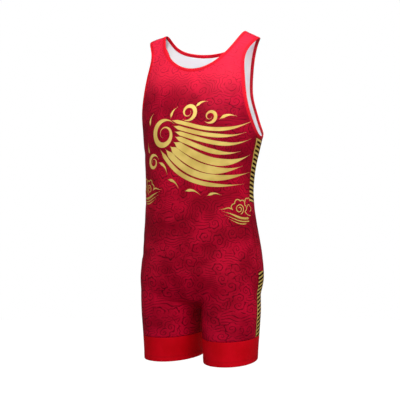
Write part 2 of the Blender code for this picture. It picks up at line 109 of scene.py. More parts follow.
# How points are laid on the figure: rounds, the step slopes are measured over, and the least slope trusted.
NEWTON_STEPS = 7
FINE_STEPS = 4
SLOPE_STEP = 1e-4
LEAST_SLOPE = 0.22


def table(columns, *rows):
    """A short table as a dictionary of arrays, one for each named column."""
    return dict(zip(columns.split(), np.array(rows, float).T))


def rows_of(columns):
    """The rows of a table, one after another, each as its plain values."""
    return zip(*columns.values())


# The trunk's sections, from below the crotch to the top of the shoulders, and the legs', from the hem up.
TRUNK = table(
    "height half_width front back squareness",
    (-0.708, 0.012, -0.020, 0.030, 2.1),
    (-0.700, 0.055, -0.056, 0.068, 2.1),
    (-0.684, 0.112, -0.087, 0.096, 2.1),
    (-0.660, 0.148, -0.105, 0.114, 2.1),
    (-0.620, 0.1635, -0.1165, 0.123, 2.1),
    (-0.550, 0.1615, -0.121, 0.112, 2.1),
    (-0.480, 0.1525, -0.123, 0.096, 2.1),
    (-0.407, 0.148, -0.124, 0.088, 2.1),
    (-0.340, 0.153, -0.121, 0.097, 2.1),
    (-0.269, 0.165, -0.115, 0.115, 2.1),
    (-0.200, 0.175, -0.100, 0.116, 2.2),
    (-0.150, 0.184, -0.080, 0.099, 2.3),
    (-0.100, 0.190, -0.058, 0.078, 2.5),
    (-0.048, 0.187, -0.036, 0.058, 2.7),
    (-0.022, 0.174, -0.021, 0.052, 2.6),
    (0.000, 0.1385, -0.008, 0.048, 2.4),
    (0.022, 0.092, 0.000, 0.045, 2.2),
    (0.045, 0.060, 0.006, 0.041, 2.1),
)
LEG = table(
    "height centre_x half_breadth half_depth",
    (-0.870, 0.0880, 0.0670, 0.0885),
    (-0.800, 0.0870, 0.0715, 0.0915),
    (-0.740, 0.0875, 0.0745, 0.0950),
    (-0.690, 0.0865, 0.0755, 0.0985),
    (-0.640, 0.0830, 0.0730, 0.0990),
    (-0.590, 0.0800, 0.0600, 0.0850),
)

# The left half of the neckline, from the middle of the front over the shoulder to the middle of the back.
NECKLINE = table(
    "x y z",
    (0.000, -0.052, -0.089),
    (0.052, -0.042, -0.0755),
    (0.092, -0.020, -0.0385),
    (0.110, 0.002, -0.003),
    (0.116, 0.022, 0.010),
    (0.108, 0.037, -0.005),
    (0.086, 0.044, -0.025),
    (0.048, 0.050, -0.037),
    (0.000, 0.054, -0.041),
)

# The left armhole, from the top of the shoulder down the front, under the arm and up the back.
ARMHOLE = table(
    "x y z",
    (0.161, 0.020, -0.008),
    (0.143, -0.018, -0.044),
    (0.138, -0.032, -0.100),
    (0.146, -0.043, -0.160),
    (0.156, -0.034, -0.220),
    (0.165, 0.000, -0.263),
    (0.155, 0.045, -0.258),
    (0.127, 0.080, -0.226),
    (0.106, 0.083, -0.173),
    (0.112, 0.068, -0.115),
    (0.131, 0.046, -0.050),
    (0.151, 0.034, -0.014),
)

# How far back the side seam lies at each height, and the middle line through the crotch.
SIDE_SEAM = table(
    "height back",
    (-0.860, -0.022),
    (-0.627, -0.013),
    (-0.430, -0.029),
    (-0.263, -0.021),
)
MIDDLE_FRONT = table(
    "y z",
    (0.008, -0.726),
    (-0.040, -0.705),
    (-0.075, -0.690),
    (-0.103, -0.655),
    (-0.117, -0.600),
    (-0.124, -0.480),
    (-0.122, -0.340),
    (-0.110, -0.240),
    (-0.055, -0.098),
)
MIDDLE_BACK = table(
    "y z",
    (0.008, -0.726),
    (0.050, -0.706),
    (0.088, -0.688),
    (0.116, -0.645),
    (0.122, -0.590),
    (0.090, -0.450),
    (0.104, -0.340),
    (0.115, -0.220),
    (0.057, -0.050),
)

# How far each row's axis lies from the middle: at the leg's own centre low down, at the trunk's higher up.
ROW_AXIS = table(
    "height out",
    (-0.860, 0.088),
    (-0.720, 0.086),
    (-0.660, 0.055),
    (-0.560, 0.010),
    (-0.400, 0.000),
    (0.050, 0.000),
)

# Soft folds: the face and place of each, its length and width, its slant in degrees, and its rise or fall.
FOLDS = table(
    "facing x z length width slant rise",
    (-1, -0.050, -0.505, 0.130, 0.025, -8, -0.0016),
    (-1, -0.085, -0.548, 0.110, 0.023, -4, -0.0014),
    (-1, 0.070, -0.560, 0.150, 0.026, 12, -0.0016),
    (-1, 0.040, -0.600, 0.110, 0.022, 8, -0.0013),
    (-1, -0.060, -0.662, 0.124, 0.022, 102, 0.0016),
    (-1, 0.060, -0.662, 0.124, 0.022, 78, 0.0016),
    (-1, -0.108, -0.670, 0.138, 0.022, 94, -0.0014),
    (-1, 0.110, -0.670, 0.138, 0.022, 84, -0.0014),
    (-1, -0.125, -0.300, 0.080, 0.023, 30, -0.0014),
    (-1, 0.125, -0.290, 0.080, 0.023, -30, -0.0014),
    (1, 0.060, -0.430, 0.150, 0.026, 10, -0.0018),
    (1, -0.060, -0.470, 0.150, 0.026, -8, -0.0018),
    (1, 0.030, -0.395, 0.120, 0.023, -6, -0.0014),
    (1, -0.070, -0.640, 0.100, 0.028, 24, -0.0018),
    (1, 0.070, -0.640, 0.100, 0.028, -24, -0.0018),
    (1, 0.085, -0.700, 0.110, 0.025, 6, -0.0014),
    (1, -0.085, -0.705, 0.110, 0.025, -4, -0.0014),
)

# Finer creases of the cloth, laid over the folds: the same columns.
CREASES = table(
    "facing x z length width slant rise",
    (-1, -0.020, -0.478, 0.120, 0.012, -10, -0.0007),
    (-1, -0.034, -0.490, 0.130, 0.013, -12, 0.0007),
    (-1, -0.070, -0.532, 0.120, 0.012, -6, 0.0007),
    (-1, 0.060, -0.538, 0.110, 0.012, 14, 0.0008),
    (-1, 0.085, -0.585, 0.100, 0.012, 18, -0.0007),
    (-1, 0.020, -0.618, 0.110, 0.012, 10, 0.0006),
    (-1, 0.062, -0.640, 0.090, 0.012, 26, -0.0007),
    (-1, -0.075, -0.620, 0.110, 0.012, -22, -0.0008),
    (-1, -0.050, -0.650, 0.080, 0.011, -34, 0.0007),
    (-1, -0.092, -0.690, 0.120, 0.013, 92, 0.0007),
    (-1, -0.070, -0.730, 0.110, 0.014, 100, -0.0008),
    (-1, 0.078, -0.700, 0.110, 0.013, 82, -0.0007),
    (-1, 0.126, -0.640, 0.100, 0.013, 70, 0.0006),
    (-1, -0.130, -0.440, 0.070, 0.013, 12, -0.0008),
    (-1, -0.120, -0.405, 0.070, 0.012, 20, 0.0007),
    (-1, 0.125, -0.395, 0.070, 0.012, -16, -0.0007),
    (-1, 0.120, -0.455, 0.090, 0.013, -10, -0.0008),
    (-1, -0.120, -0.215, 0.060, 0.012, 62, -0.0008),
    (-1, 0.118, -0.205, 0.060, 0.012, -62, -0.0008),
    (-1, -0.118, -0.120, 0.070, 0.012, 74, -0.0006),
    (-1, 0.118, -0.110, 0.070, 0.012, -74, -0.0006),
    (1, 0.045, -0.410, 0.150, 0.013, 6, 0.0009),
    (1, -0.040, -0.448, 0.160, 0.013, -6, 0.0009),
    (1, 0.070, -0.470, 0.120, 0.012, 12, -0.0008),
    (1, -0.080, -0.425, 0.110, 0.012, -12, -0.0008),
    (1, 0.000, -0.375, 0.140, 0.012, 2, -0.0007),
    (1, -0.060, -0.340, 0.100, 0.012, -20, 0.0007),
    (1, 0.064, -0.332, 0.100, 0.012, 22, 0.0007),
    (1, 0.100, -0.290, 0.080, 0.012, -44, -0.0008),
    (1, -0.100, -0.285, 0.080, 0.012, 44, -0.0008),
    (1, 0.060, -0.690, 0.090, 0.012, 30, 0.0008),
    (1, -0.060, -0.694, 0.090, 0.012, -30, 0.0008),
    (1, 0.095, -0.730, 0.100, 0.012, 10, 0.0007),
    (1, -0.095, -0.735, 0.100, 0.012, -8, 0.0007),
)


def spline(knots, values):
    """A natural cubic curve through values at increasing knots, as a function of any array."""
    knots = np.asarray(knots, float)
    values = np.asarray(values, float)
    steps = np.diff(knots)
    slopes = np.diff(values, axis=0) / steps.reshape((-1,) + (1,) * (values.ndim - 1))
    matrix = np.eye(len(knots))
    bends = np.zeros_like(values)
    for i in range(1, len(knots) - 1):
        matrix[i, i - 1 : i + 2] = steps[i - 1], 2 * (steps[i - 1] + steps[i]), steps[i]
        bends[i] = 6 * (slopes[i] - slopes[i - 1])
    bends = np.linalg.solve(matrix, bends)

    def at(x):
        """The curve's values at any places: between two knots, a cubic with the bends of both."""
        x = np.clip(x, knots[0], knots[-1])
        i = np.clip(np.searchsorted(knots, x) - 1, 0, len(steps) - 1)
        h = steps[i]
        a = (knots[i + 1] - x) / h
        b = 1 - a
        if values.ndim > 1:
            a, b, h = a[..., None], b[..., None], h[..., None]
        cubic = (a**3 - a) * bends[i] + (b**3 - b) * bends[i + 1]
        return a * values[i] + b * values[i + 1] + cubic * h**2 / 6

    return at


def column_curves(rows):
    """One smooth curve for each column of a table, against its height column."""
    return {name: spline(rows["height"], rows[name]) for name in rows if name != "height"}


TRUNK_AT = column_curves(TRUNK)
LEG_AT = column_curves(LEG)
SIDE_SEAM_AT = column_curves(SIDE_SEAM)["back"]
ROW_AXIS_AT = column_curves(ROW_AXIS)["out"]


def oval(across, along, half_across, half_along, squareness):
    """How far a point lies outside a rounded oval.

    Its reach is the root of the sum of the powers of both shares. What it has over 1 is scaled by the lesser
    half size.
    """
    reach = np.abs(across / half_across) ** squareness + np.abs(along / half_along) ** squareness
    return (reach ** (1 / squareness) - 1) * np.minimum(half_across, half_along)


def beyond(height, rows):
    """How far a height lies past the ends of a table."""
    lowest, highest = rows["height"][0], rows["height"][-1]
    return np.maximum(lowest - height, 0) + np.maximum(height - highest, 0)


def smooth_share(place, start, end):
    """From 0 to 1 between two places: three times the square of the share, less twice its cube."""
    share = np.clip((place - start) / (end - start), 0, 1)
    return share**2 * (3 - 2 * share)


def trunk_field(points):
    """Distance-like field of the trunk, whose sections are ovals between the front and back depths.

    The wearer's right shoulder rises a little towards its outer end.
    """
    x, y, z = np.moveaxis(points, -1, 0)
    z = z - RIGHT_SHOULDER_LIFT * smooth_share(-x, *LIFT_OUT) * smooth_share(z, *LIFT_UP)
    front, back = TRUNK_AT["front"](z), TRUNK_AT["back"](z)
    half_width, squareness = TRUNK_AT["half_width"](z), TRUNK_AT["squareness"](z)
    outside = oval(x, y - (front + back) / 2, half_width, (back - front) / 2, squareness)
    return outside + beyond(z, TRUNK)


def leg_centre(height, side):
    """X and Y of a leg's axis, which leans with the stance below the hip."""
    lean = (LEG["height"][-1] - height) / (LEG["height"][-1] - HEM_HEIGHT)
    return side * LEG_AT["centre_x"](height), STANCE[side] * lean


def leg_field(points, side):
    """Distance-like field of one leg, an oval turned outwards by LEG_TURN."""
    x, y, z = np.moveaxis(points, -1, 0)
    centre_x, centre_y = leg_centre(z, side)
    turn = side * LEG_TURN
    across = (x - centre_x) * np.cos(turn) + (y - centre_y) * np.sin(turn)
    along = (y - centre_y) * np.cos(turn) - (x - centre_x) * np.sin(turn)
    half_breadth, half_depth = LEG_AT["half_breadth"](z), LEG_AT["half_depth"](z)
    return oval(across, along, half_breadth, half_depth, LEG_SQUARENESS) + beyond(z, LEG)


def soft_union(a, b, blend):
    """The union of two fields with a rounded valley: the lesser, less a quarter of the blend near a tie."""
    nearness = np.maximum(blend - np.abs(a - b), 0) / blend
    return np.minimum(a, b) - nearness**2 * blend / 4


def relief(points, rows):
    """Height of folds or creases: each a bell along its length times a bell across it, on its own face."""
    x, y, z = np.moveaxis(points, -1, 0)
    total = np.zeros_like(x)
    for i in range(len(rows["x"])):
        row = {name: column[i] for name, column in rows.items()}
        slant = np.radians(row["slant"])
        right, up = x - row["x"], z - row["z"]
        along = (right * np.cos(slant) + up * np.sin(slant)) / (row["length"] / 2)
        across = (up * np.cos(slant) - right * np.sin(slant)) / (row["width"] / 2)
        face = np.clip(0.5 + row["facing"] * (y - SIDE_DEPTH) / FOLD_FADE, 0, 1)
        total += row["rise"] * face * np.exp(-(along**2) - across**2)
    return total


def figure(points):
    """Field of the whole figure with its folds: zero on its surface, negative inside."""
    legs = soft_union(leg_field(points, 1), leg_field(points, -1), CROTCH_BLEND)
    return soft_union(trunk_field(points), legs, TRUNK_BLEND) - relief(points, FOLDS)


def slope(points):
    """Gradient of the figure's field, by central differences."""
    steps = np.eye(3) * SLOPE_STEP
    rises = [figure(points + step) - figure(points - step) for step in steps]
    return np.stack(rises, axis=-1) / (2 * SLOPE_STEP)


def settled(points, level=None, rounds=NEWTON_STEPS):
    """Points laid on the figure by steps of field over slope, which stay square to level if it is given."""
    points = np.array(points, float)
    for _ in range(rounds):
        steepest = slope(points)
        if level is not None:
            steepest -= (steepest @ level)[..., None] * level
        size = np.maximum(np.linalg.norm(steepest, axis=-1, keepdims=True), LEAST_SLOPE)
        points -= steepest * figure(points)[..., None] / size**2
    return points


def outward(points):
    """Unit normals of the figure."""
    steepest = slope(points)
    return steepest / np.maximum(np.linalg.norm(steepest, axis=-1, keepdims=True), LEAST_SLOPE)


ACROSS = np.array([1.0, 0.0, 0.0])
UPRIGHT = np.array([0.0, 0.0, 1.0])
HEM_PLANE = np.array([0.0, -np.sin(HEM_TILT), np.cos(HEM_TILT)])


def lengths_along(points):
    """Running length at each point of a line."""
    steps = np.linalg.norm(np.diff(points, axis=0), axis=1)
    return np.concatenate([[0], np.cumsum(steps)])


def at_shares(points, portions):
    """Points at the given portions of a line's length."""
    run = lengths_along(points)
    return np.stack([np.interp(portions * run[-1], run, column) for column in points.T], axis=-1)


def shares(points, cells):
    """Points that cut a line into equal lengths."""
    return at_shares(points, np.linspace(0, 1, cells + 1))


def curve_through(guide, count, level=None):
    """A smooth line through guide points, laid on the figure."""
    run = lengths_along(guide)
    return settled(spline(run, guide)(np.linspace(0, run[-1], count)), level)


def loop_through(guide):
    """A smooth closed line through guide points, laid on the figure, without its first point repeated."""
    lapped = np.concatenate([guide[-3:], guide, guide[:4]])
    run = lengths_along(lapped)
    return settled(spline(run, lapped)(np.linspace(run[3], run[-4], LINE_POINTS + 1)[:-1]))


def moved_into_cloth(loop, distance):
    """A finished edge moved into the cloth: along the figure, away from the middle of its opening."""
    tangent = np.roll(loop, -1, axis=0) - np.roll(loop, 1, axis=0)
    across = np.cross(tangent, slope(loop))
    across /= np.linalg.norm(across, axis=1, keepdims=True)
    outward_share = ((loop - loop.mean(axis=0)) * across).sum(axis=1, keepdims=True)
    return settled(loop + across * np.sign(np.median(outward_share)) * distance)


def xyz(rows):
    """The points of a table with x, y and z columns."""
    return np.stack([rows["x"], rows["y"], rows["z"]], axis=-1)


def neck_edge():
    """The finished neckline, from the middle of the front over the left shoulder and round by the right."""
    left = xyz(NECKLINE)
    loop = np.concatenate([left[:-1], left[:0:-1] * [-1, 1, 1]])
    behind = np.clip(loop[:, 1] / NECKLINE["y"][-1], 0, 1)
    loop[:, 2] += NECK_SKEW * loop[:, 0] * behind
    return loop_through(loop)


def armhole_edge(side):
    """The finished armhole of one side. The wearer's right strap ends a little further in."""
    loop = xyz(ARMHOLE)
    loop[:, 0] -= RIGHT_STRAP_IN * (side < 0) * (loop[:, 2] > STRAP_ZONE)
    return loop_through(loop * [side, 1, 1])


def pick(loop, candidates, wanted_y):
    """Which of the candidate stations on a loop has its Y nearest the wanted one."""
    return int(np.argmin(np.where(candidates, np.abs(loop[:, 1] - wanted_y), np.inf)))


def run_between(loop, start, end, towards, axis):
    """Stations along a loop from start to end, by the way that keeps to the low or high end of an axis."""
    count = len(loop)
    forward = np.mod(start + np.arange(np.mod(end - start, count) + 1), count)
    backward = np.mod(start - np.arange(np.mod(start - end, count) + 1), count)
    ways = sorted((forward, backward), key=lambda run: loop[run, axis].mean())
    return ways[0] if towards < 0 else ways[1]


def equal_stations(loop, run, cells):
    """Stations of a run that cut it into nearly equal lengths."""
    length = lengths_along(loop[run])
    wanted = np.linspace(0, length[-1], cells + 1)
    return run[np.round(np.interp(wanted, length, np.arange(len(run)))).astype(int)]


def opening(edge):
    """A finished edge with the line where its tape meets the cloth."""
    return {"edge": edge, "cloth": moved_into_cloth(edge, TAPE_REACH)}


def beside_edge(hole, distance):
    """Points at a distance in from a finished edge, by their share of the way to where its tape ends."""
    share = distance / TAPE_REACH
    return hole["edge"] * (1 - share) + hole["cloth"] * share


NECK = opening(neck_edge())
ARMHOLES = {side: opening(armhole_edge(side)) for side in (1, -1)}


def shoulder_station(loop, side):
    """Where a loop crosses the shoulder seam on one side."""
    return pick(loop, (loop[:, 2] > SHOULDER_ZONE) & (loop[:, 0] * side > 0), SHOULDER_SEAM_BACK)


def neck_stations(facing, side):
    """Shared stations on the neckline from the middle of the front or the back up to one shoulder seam."""
    loop = NECK["cloth"]
    middle = 0 if facing < 0 else LINE_POINTS // 2
    run = run_between(loop, middle, shoulder_station(loop, side), side, axis=0)
    return equal_stations(loop, run, NECK_ROWS[facing])


def armhole_stations(facing, side):
    """Shared stations on an armhole from the side seam up to the shoulder seam."""
    loop = ARMHOLES[side]["cloth"]
    armpit = pick(loop, loop[:, 2] < ARMPIT_ZONE, SIDE_SEAM["back"][-1])
    run = run_between(loop, armpit, shoulder_station(loop, side), facing, axis=1)
    return equal_stations(loop, run, UNDER_ARM[facing] + CHEST_ROWS[facing] + NECK_ROWS[facing])


def swept_about(centre, start, end, turning):
    """Points between two ends by angle, radius and height about upright axes, then laid on the figure."""
    t = np.linspace(0, 1, ROW_POINTS)
    first, last = start - centre, end - centre
    angle = np.arctan2(first[:, 1], first[:, 0])
    sweep = (np.arctan2(last[:, 1], last[:, 0]) - angle) * turning
    sweep = (np.mod(sweep + np.pi / 2, 2 * np.pi) - np.pi / 2) * turning
    first_radius, last_radius = np.hypot(*first[:, :2].T), np.hypot(*last[:, :2].T)
    radius = first_radius[:, None] * (1 - t) + last_radius[:, None] * t
    angle = angle[:, None] + sweep[:, None] * t
    x = centre[:, :1] + radius * np.cos(angle)
    y = centre[:, 1:2] + radius * np.sin(angle)
    z = start[:, 2:] * (1 - t) + end[:, 2:] * t
    z = z + hem_droop(y - start[:, 1:2] * (1 - t) - end[:, 1:2] * t, z)
    return settled(np.stack([x, y, z], axis=-1))


def hem_droop(back, z):
    """How far a row's height follows the hem: tilted as the hem at the leg band, and level at the crotch."""
    low, high = HEM_HEIGHT + BAND_HEIGHT, MIDDLE_FRONT["z"][0]
    return np.tan(HEM_TILT) * back * np.clip((high - z) / (high - low), 0, 1)


def leg_row(facing, side, above_hem):
    """Points half round a leg, level with the hem, from the inseam to the side seam."""
    height = np.array(HEM_HEIGHT + above_hem)
    centre_x, centre_y = leg_centre(height, side)
    breadth = LEG_AT["half_breadth"](height)
    ends = []
    for x, y in ((centre_x - side * breadth, centre_y), (centre_x + side * breadth, SIDE_SEAM_AT(height))):
        on_plane = height + np.tan(HEM_TILT) * (y - centre_y)
        ends.append(settled(np.array([[x, y, on_plane]]), HEM_PLANE))
    centre = np.array([[centre_x, centre_y, height]])
    row = swept_about(centre, *ends, -facing * side)[0]
    row[:, 2] = height + np.tan(HEM_TILT) * (row[:, 1] - centre_y)
    row = settled(row, HEM_PLANE)
    return settled(shares(row, COLUMNS[facing]), HEM_PLANE)


def eased(grid):
    """A grid whose inner points near the crotch have slid along the figure to lie amid their neighbours."""
    row, column = np.mgrid[1:CROTCH_ROWS, 1 : grid.shape[1] - 1]
    for _ in range(EASING_ROUNDS):
        upright = grid[row - 1, column] + grid[row + 1, column]
        level = grid[row, column - 1] + grid[row, column + 1]
        grid[row, column] = settled((upright + level) / 4)
    return grid


def half_panel(facing, side):
    """Coarse grid over one side of the front (-1) or the back (1), in rows from the leg band up.

    Each row runs from the inseam, the middle or the neckline to the side seam or the armhole. At the back
    the armhole first runs under the arm, along the top of the columns that end there.
    """
    under = UNDER_ARM[facing]
    upper_columns = COLUMNS[facing] - under
    neck = NECK["cloth"][neck_stations(facing, side)]
    armhole = ARMHOLES[side]["cloth"][armhole_stations(facing, side)]
    bottom = leg_row(facing, side, BAND_HEIGHT + SEAM_GAP / 2)
    crotch = settled(np.array([0, MIDDLE_FRONT["y"][0], MIDDLE_FRONT["z"][0]]), ACROSS)

    inseam = curve_through(np.array([bottom[0], (bottom[0] + crotch) / 2, crotch]), SEAM_POINTS)
    rows = MIDDLE_FRONT if facing < 0 else MIDDLE_BACK
    guide = np.stack([0 * rows["y"], rows["y"], rows["z"]], axis=-1)
    guide[0], guide[-1] = crotch, neck[0]
    middle = curve_through(guide, SEAM_POINTS, ACROSS)
    chest = int(np.searchsorted(middle[:, 2], armhole[under, 2]))

    heights = np.linspace(bottom[-1, 2], armhole[0, 2], SEAM_POINTS)
    wide = np.full_like(heights, side * TRUNK["half_width"].max())
    seam = settled(np.stack([wide, SIDE_SEAM_AT(heights), heights], axis=-1), UPRIGHT)
    seam[0], seam[-1] = bottom[-1], armhole[0]

    middle_rows = [shares(middle[: chest + 1], TRUNK_ROWS), shares(middle[chest:], CHEST_ROWS[facing])]
    inner = np.concatenate([shares(inseam, LEG_ROWS), middle_rows[0][1:], middle_rows[1][1:], neck[1:]])
    lower, upper = shares(seam, SIDE_ROWS)[:-1], armhole[under:]
    outer = np.concatenate([lower, upper])
    middle_height = (inner[:, 2] + outer[:, 2]) / 2
    centre = np.stack([side * ROW_AXIS_AT(middle_height), 0 * middle_height, middle_height], axis=-1)
    swept = swept_about(centre, inner, outer, -facing * side)

    grid = np.full((len(inner), COLUMNS[facing] + 1, 3), np.nan)
    grid[:SIDE_ROWS] = settled(np.array([shares(row, COLUMNS[facing]) for row in swept[:SIDE_ROWS]]))
    above = settled(np.array([shares(row, upper_columns) for row in swept[SIDE_ROWS:]]))
    grid[SIDE_ROWS:, : upper_columns + 1] = above
    grid[SIDE_ROWS, upper_columns:] = armhole[under::-1] if under else armhole[:1]
    grid[:, 0], grid[0] = inner, bottom
    grid[:SIDE_ROWS, -1], grid[SIDE_ROWS:, upper_columns] = lower, upper
    return open_seams(eased(grid), upper_columns)


def nudged(edge, neighbours, distance):
    """Edge points moved towards their neighbours by a distance."""
    way = neighbours - edge
    return edge + way / np.linalg.norm(way, axis=-1, keepdims=True) * distance


def open_seams(grid, upper_columns):
    """A half panel drawn back from its inseam, side seam and shoulder seam by half the gap at a seam."""
    grid = grid.copy()
    leg, side, strap = slice(0, LEG_ROWS), slice(0, SIDE_ROWS + 1), slice(0, upper_columns + 1)
    grid[leg, 0] = nudged(grid[leg, 0], grid[leg, 1], SEAM_GAP / 2)
    grid[LEG_ROWS, 0] = nudged(grid[LEG_ROWS, 0], grid[LEG_ROWS + 1, 0], RIDGE_GAP)
    grid[side, -1] = nudged(grid[side, -1], grid[side, -2], SEAM_GAP / 2)
    grid[-1, strap] = nudged(grid[-1, strap], grid[-2, strap], RIDGE_GAP / 2)
    return grid


def finer(grid, detail):
    """A grid with smooth curves through its rows and columns, read off at so many points for each cell."""
    for _ in range(2):
        count = len(grid)
        places = np.linspace(0, count - 1, (count - 1) * detail + 1)
        fine = spline(np.arange(count), grid.reshape(count, -1))(places)
        grid = np.moveaxis(fine.reshape(len(places), *grid.shape[1:]), 1, 0)
    return grid


def fine_half_panel(facing, side):
    """One side of a panel on a fine grid, made in blocks so that the corners at crotch and armpit stay."""
    coarse = half_panel(facing, side)
    rows, columns = coarse.shape[:2]
    upper = COLUMNS[facing] - UNDER_ARM[facing] + 1
    fine = np.full(((rows - 1) * DETAIL + 1, (columns - 1) * DETAIL + 1, 3), np.nan)
    blocks = ((0, LEG_ROWS, columns), (LEG_ROWS, SIDE_ROWS, columns), (SIDE_ROWS, rows - 1, upper))
    for low, high, width in blocks:
        block = finer(coarse[low : high + 1, :width], DETAIL)
        fine[low * DETAIL : high * DETAIL + 1, : (width - 1) * DETAIL + 1] = block
    made = ~np.isnan(fine[..., 0])
    fine[made] = settled(fine[made], rounds=FINE_STEPS)
    return fine


def grid_faces(numbers):
    """Faces over a grid of point numbers, as rows of four corners."""
    corners = numbers[:-1, :-1], numbers[:-1, 1:], numbers[1:, 1:], numbers[1:, :-1]
    return np.stack(corners, axis=-1).reshape(-1, 4)


def face_normals(points, faces):
    """The cross product of each face's diagonals: square to the face, and twice its area long."""
    corners = points[faces]
    return np.cross(corners[:, 2] - corners[:, 0], corners[:, 3] - corners[:, 1])


def pointing_out(points, faces):
    """How far each face points out of the figure: its normal times the figure's slope at its middle."""
    return (face_normals(points, faces) * slope(points[faces].mean(axis=1))).sum(axis=1)


def facing_out(points, faces):
    """The faces, all turned over if they point into the figure."""
    return faces if pointing_out(points, faces).sum() > 0 else faces[:, ::-1]


def whole_panel(facing):
    """Points, faces and seam edges of the front or the back, its two sides joined along the middle."""
    left, right = fine_half_panel(facing, 1), fine_half_panel(facing, -1)
    shared = slice(LEG_ROWS * DETAIL, (SIDE_ROWS + CHEST_ROWS[facing]) * DETAIL + 1)
    middle = (left[shared, 0] + right[shared, 0]) / 2
    middle[:, 0] = 0
    left[shared, 0] = settled(middle, ACROSS, FINE_STEPS)
    left_numbers = np.arange(left[..., 0].size).reshape(left.shape[:2])
    right_numbers = left_numbers + left_numbers.size
    right_numbers[shared, 0] = left_numbers[shared, 0]
    points = np.concatenate([left.reshape(-1, 3), right.reshape(-1, 3)])
    faces = []
    for numbers in (left_numbers, right_numbers):
        cells = grid_faces(numbers)
        made = ~np.isnan(points[cells]).any(axis=(1, 2))
        faces.append(facing_out(points, cells[made]))
    faces = np.concatenate(faces)
    used, renumbered = np.unique(faces, return_inverse=True)
    side, inseam = slice(0, SIDE_ROWS * DETAIL + 1), slice(0, LEG_ROWS * DETAIL + 1)
    strap = slice(0, (COLUMNS[facing] - UNDER_ARM[facing]) * DETAIL + 1)
    edges = {
        "side": {1: left[side, -1], -1: right[side, -1]},
        "inseam": {1: left[inseam, 0], -1: right[inseam, 0]},
        "shoulder": {1: left[-1, strap], -1: right[-1, strap]},
    }
    return points[used], renumbered.reshape(faces.shape), edges


def dressed(points, lift=0.0):
    """Points of the smooth figure moved square to it, by the height of the creases and a further lift."""
    return points + outward(points) * (relief(points, CREASES) + lift)[..., None]


# The cut's own coordinates. Across is the arc of the trunk's oval from the middle of the panel, and the oval
# stays the same past these two heights.
PRINT_LOW = -0.62
PRINT_HIGH = -0.10
ARC_NODES, ARC_WEIGHTS = np.polynomial.legendre.leggauss(12)
CUT_ROUNDS = 8

# Up is the height, and on the straps also a share of the way that the cloth has climbed from its face.
FACE_DEPTH = {-1: -0.050, 1: 0.075}
CLIMB_SHARE = 0.6
CLIMB_FROM = -0.14
CLIMB_FULL = -0.04

# Across each leg, the ground print is the leg's own turn rolled out flat, from above the crotch down.
ROLLED_FROM = -0.640
ROLLED_FULL = -0.705
ROLLED_SIDE = 0.209
ROLLED_RADIUS = 0.075


def print_oval(height):
    """Half width, half depth and middle of the oval that carries the print at each height."""
    level = np.clip(height, PRINT_LOW, PRINT_HIGH)
    front, back = TRUNK_AT["front"](level), TRUNK_AT["back"](level)
    return TRUNK_AT["half_width"](level), (back - front) / 2, (back + front) / 2


def arc(angle, wide, deep):
    """Length of an oval from the middle of a face to an angle: the arc's speed summed at Gauss points."""
    t = angle[..., None] * (ARC_NODES + 1) / 2
    speed = np.hypot(wide[..., None] * np.cos(t), deep[..., None] * np.sin(t))
    return (speed * ARC_WEIGHTS).sum(axis=-1) * angle / 2


def cut_place(points, facing):
    """Where points of a panel lie on its cut: metres across from the middle, and metres up.

    Across is the oval's arc, which turns into the plain sideways place on the straps, where the oval's end
    would squeeze it. Up is the height, and on the straps also the climb over the shoulder.
    """
    x, y, z = np.moveaxis(points, -1, 0)
    wide, deep, middle = print_oval(z)
    angle = np.arctan2(x / wide, facing * (y - middle) / deep)
    share = np.clip((z - CLIMB_FROM) / (CLIMB_FULL - CLIMB_FROM), 0, 1)
    climb = CLIMB_SHARE * share * np.maximum(facing * (FACE_DEPTH[facing] - y), 0)
    across = arc(angle, wide, deep)
    return np.stack([across + share * (x - across), z + climb], axis=-1)


def ground_place(points, facing):
    """Where a panel's ground print lies: as on its cut, but each leg is rolled out about its own axis."""
    x, y, z = np.moveaxis(points, -1, 0)
    turn = np.arctan2(facing * (y - print_oval(z)[2]), np.abs(x) - LEG_AT["centre_x"](z))
    rolled = np.sign(x) * (ROLLED_SIDE - ROLLED_RADIUS * turn)
    across, up = np.moveaxis(cut_place(points, facing), -1, 0)
    return np.stack([across + smooth_share(z, ROLLED_FROM, ROLLED_FULL) * (rolled - across), up], axis=-1)


def on_cloth(place, facing, lift):
    """Points of the cloth at places on the cut: the arc undone by Newton's rule, then laid on the figure."""
    across, height = np.moveaxis(np.asarray(place, float), -1, 0)
    wide, deep, middle = print_oval(height)
    angle = across / wide
    for _ in range(CUT_ROUNDS):
        speed = np.hypot(wide * np.cos(angle), deep * np.sin(angle))
        angle = angle - (arc(angle, wide, deep) - across) / speed
    points = np.stack([wide * np.sin(angle), middle + facing * deep * np.cos(angle), height], axis=-1)
    return dressed(settled(points, UPRIGHT), lift)


def new_mesh(name, points, faces, places=None, lap=None):
    """A mesh object from arrays of points and four-cornered faces, with places on the cut as its UV map.

    Where a face crosses the end of a closed run of length lap, its low corners are read one lap further on.
    """
    mesh = bpy.data.meshes.new(name)
    mesh.from_pydata(points.tolist(), [], faces.tolist())
    if places is not None:
        corners = places[faces]
        if lap is not None:
            run = corners[..., 0]
            crossing = np.ptp(run, axis=1, keepdims=True) > lap / 2
            run[crossing & (run < lap / 2)] += lap
        layer = mesh.uv_layers.new(name="cut")
        layer.data.foreach_set("uv", corners.astype(np.float32).ravel())
    mesh.shade_smooth()
    piece = bpy.data.objects.new(name, mesh)
    bpy.context.scene.collection.objects.link(piece)
    return piece


def thicken(piece, thickness, offset=0.0, inside=0):
    """Gives a sheet its thickness, and its inside a material so many slots after the outside's."""
    wall = piece.modifiers.new("Cloth", "SOLIDIFY")
    wall.thickness = thickness
    wall.offset = offset
    wall.material_offset = inside
    wall.material_offset_rim = 0


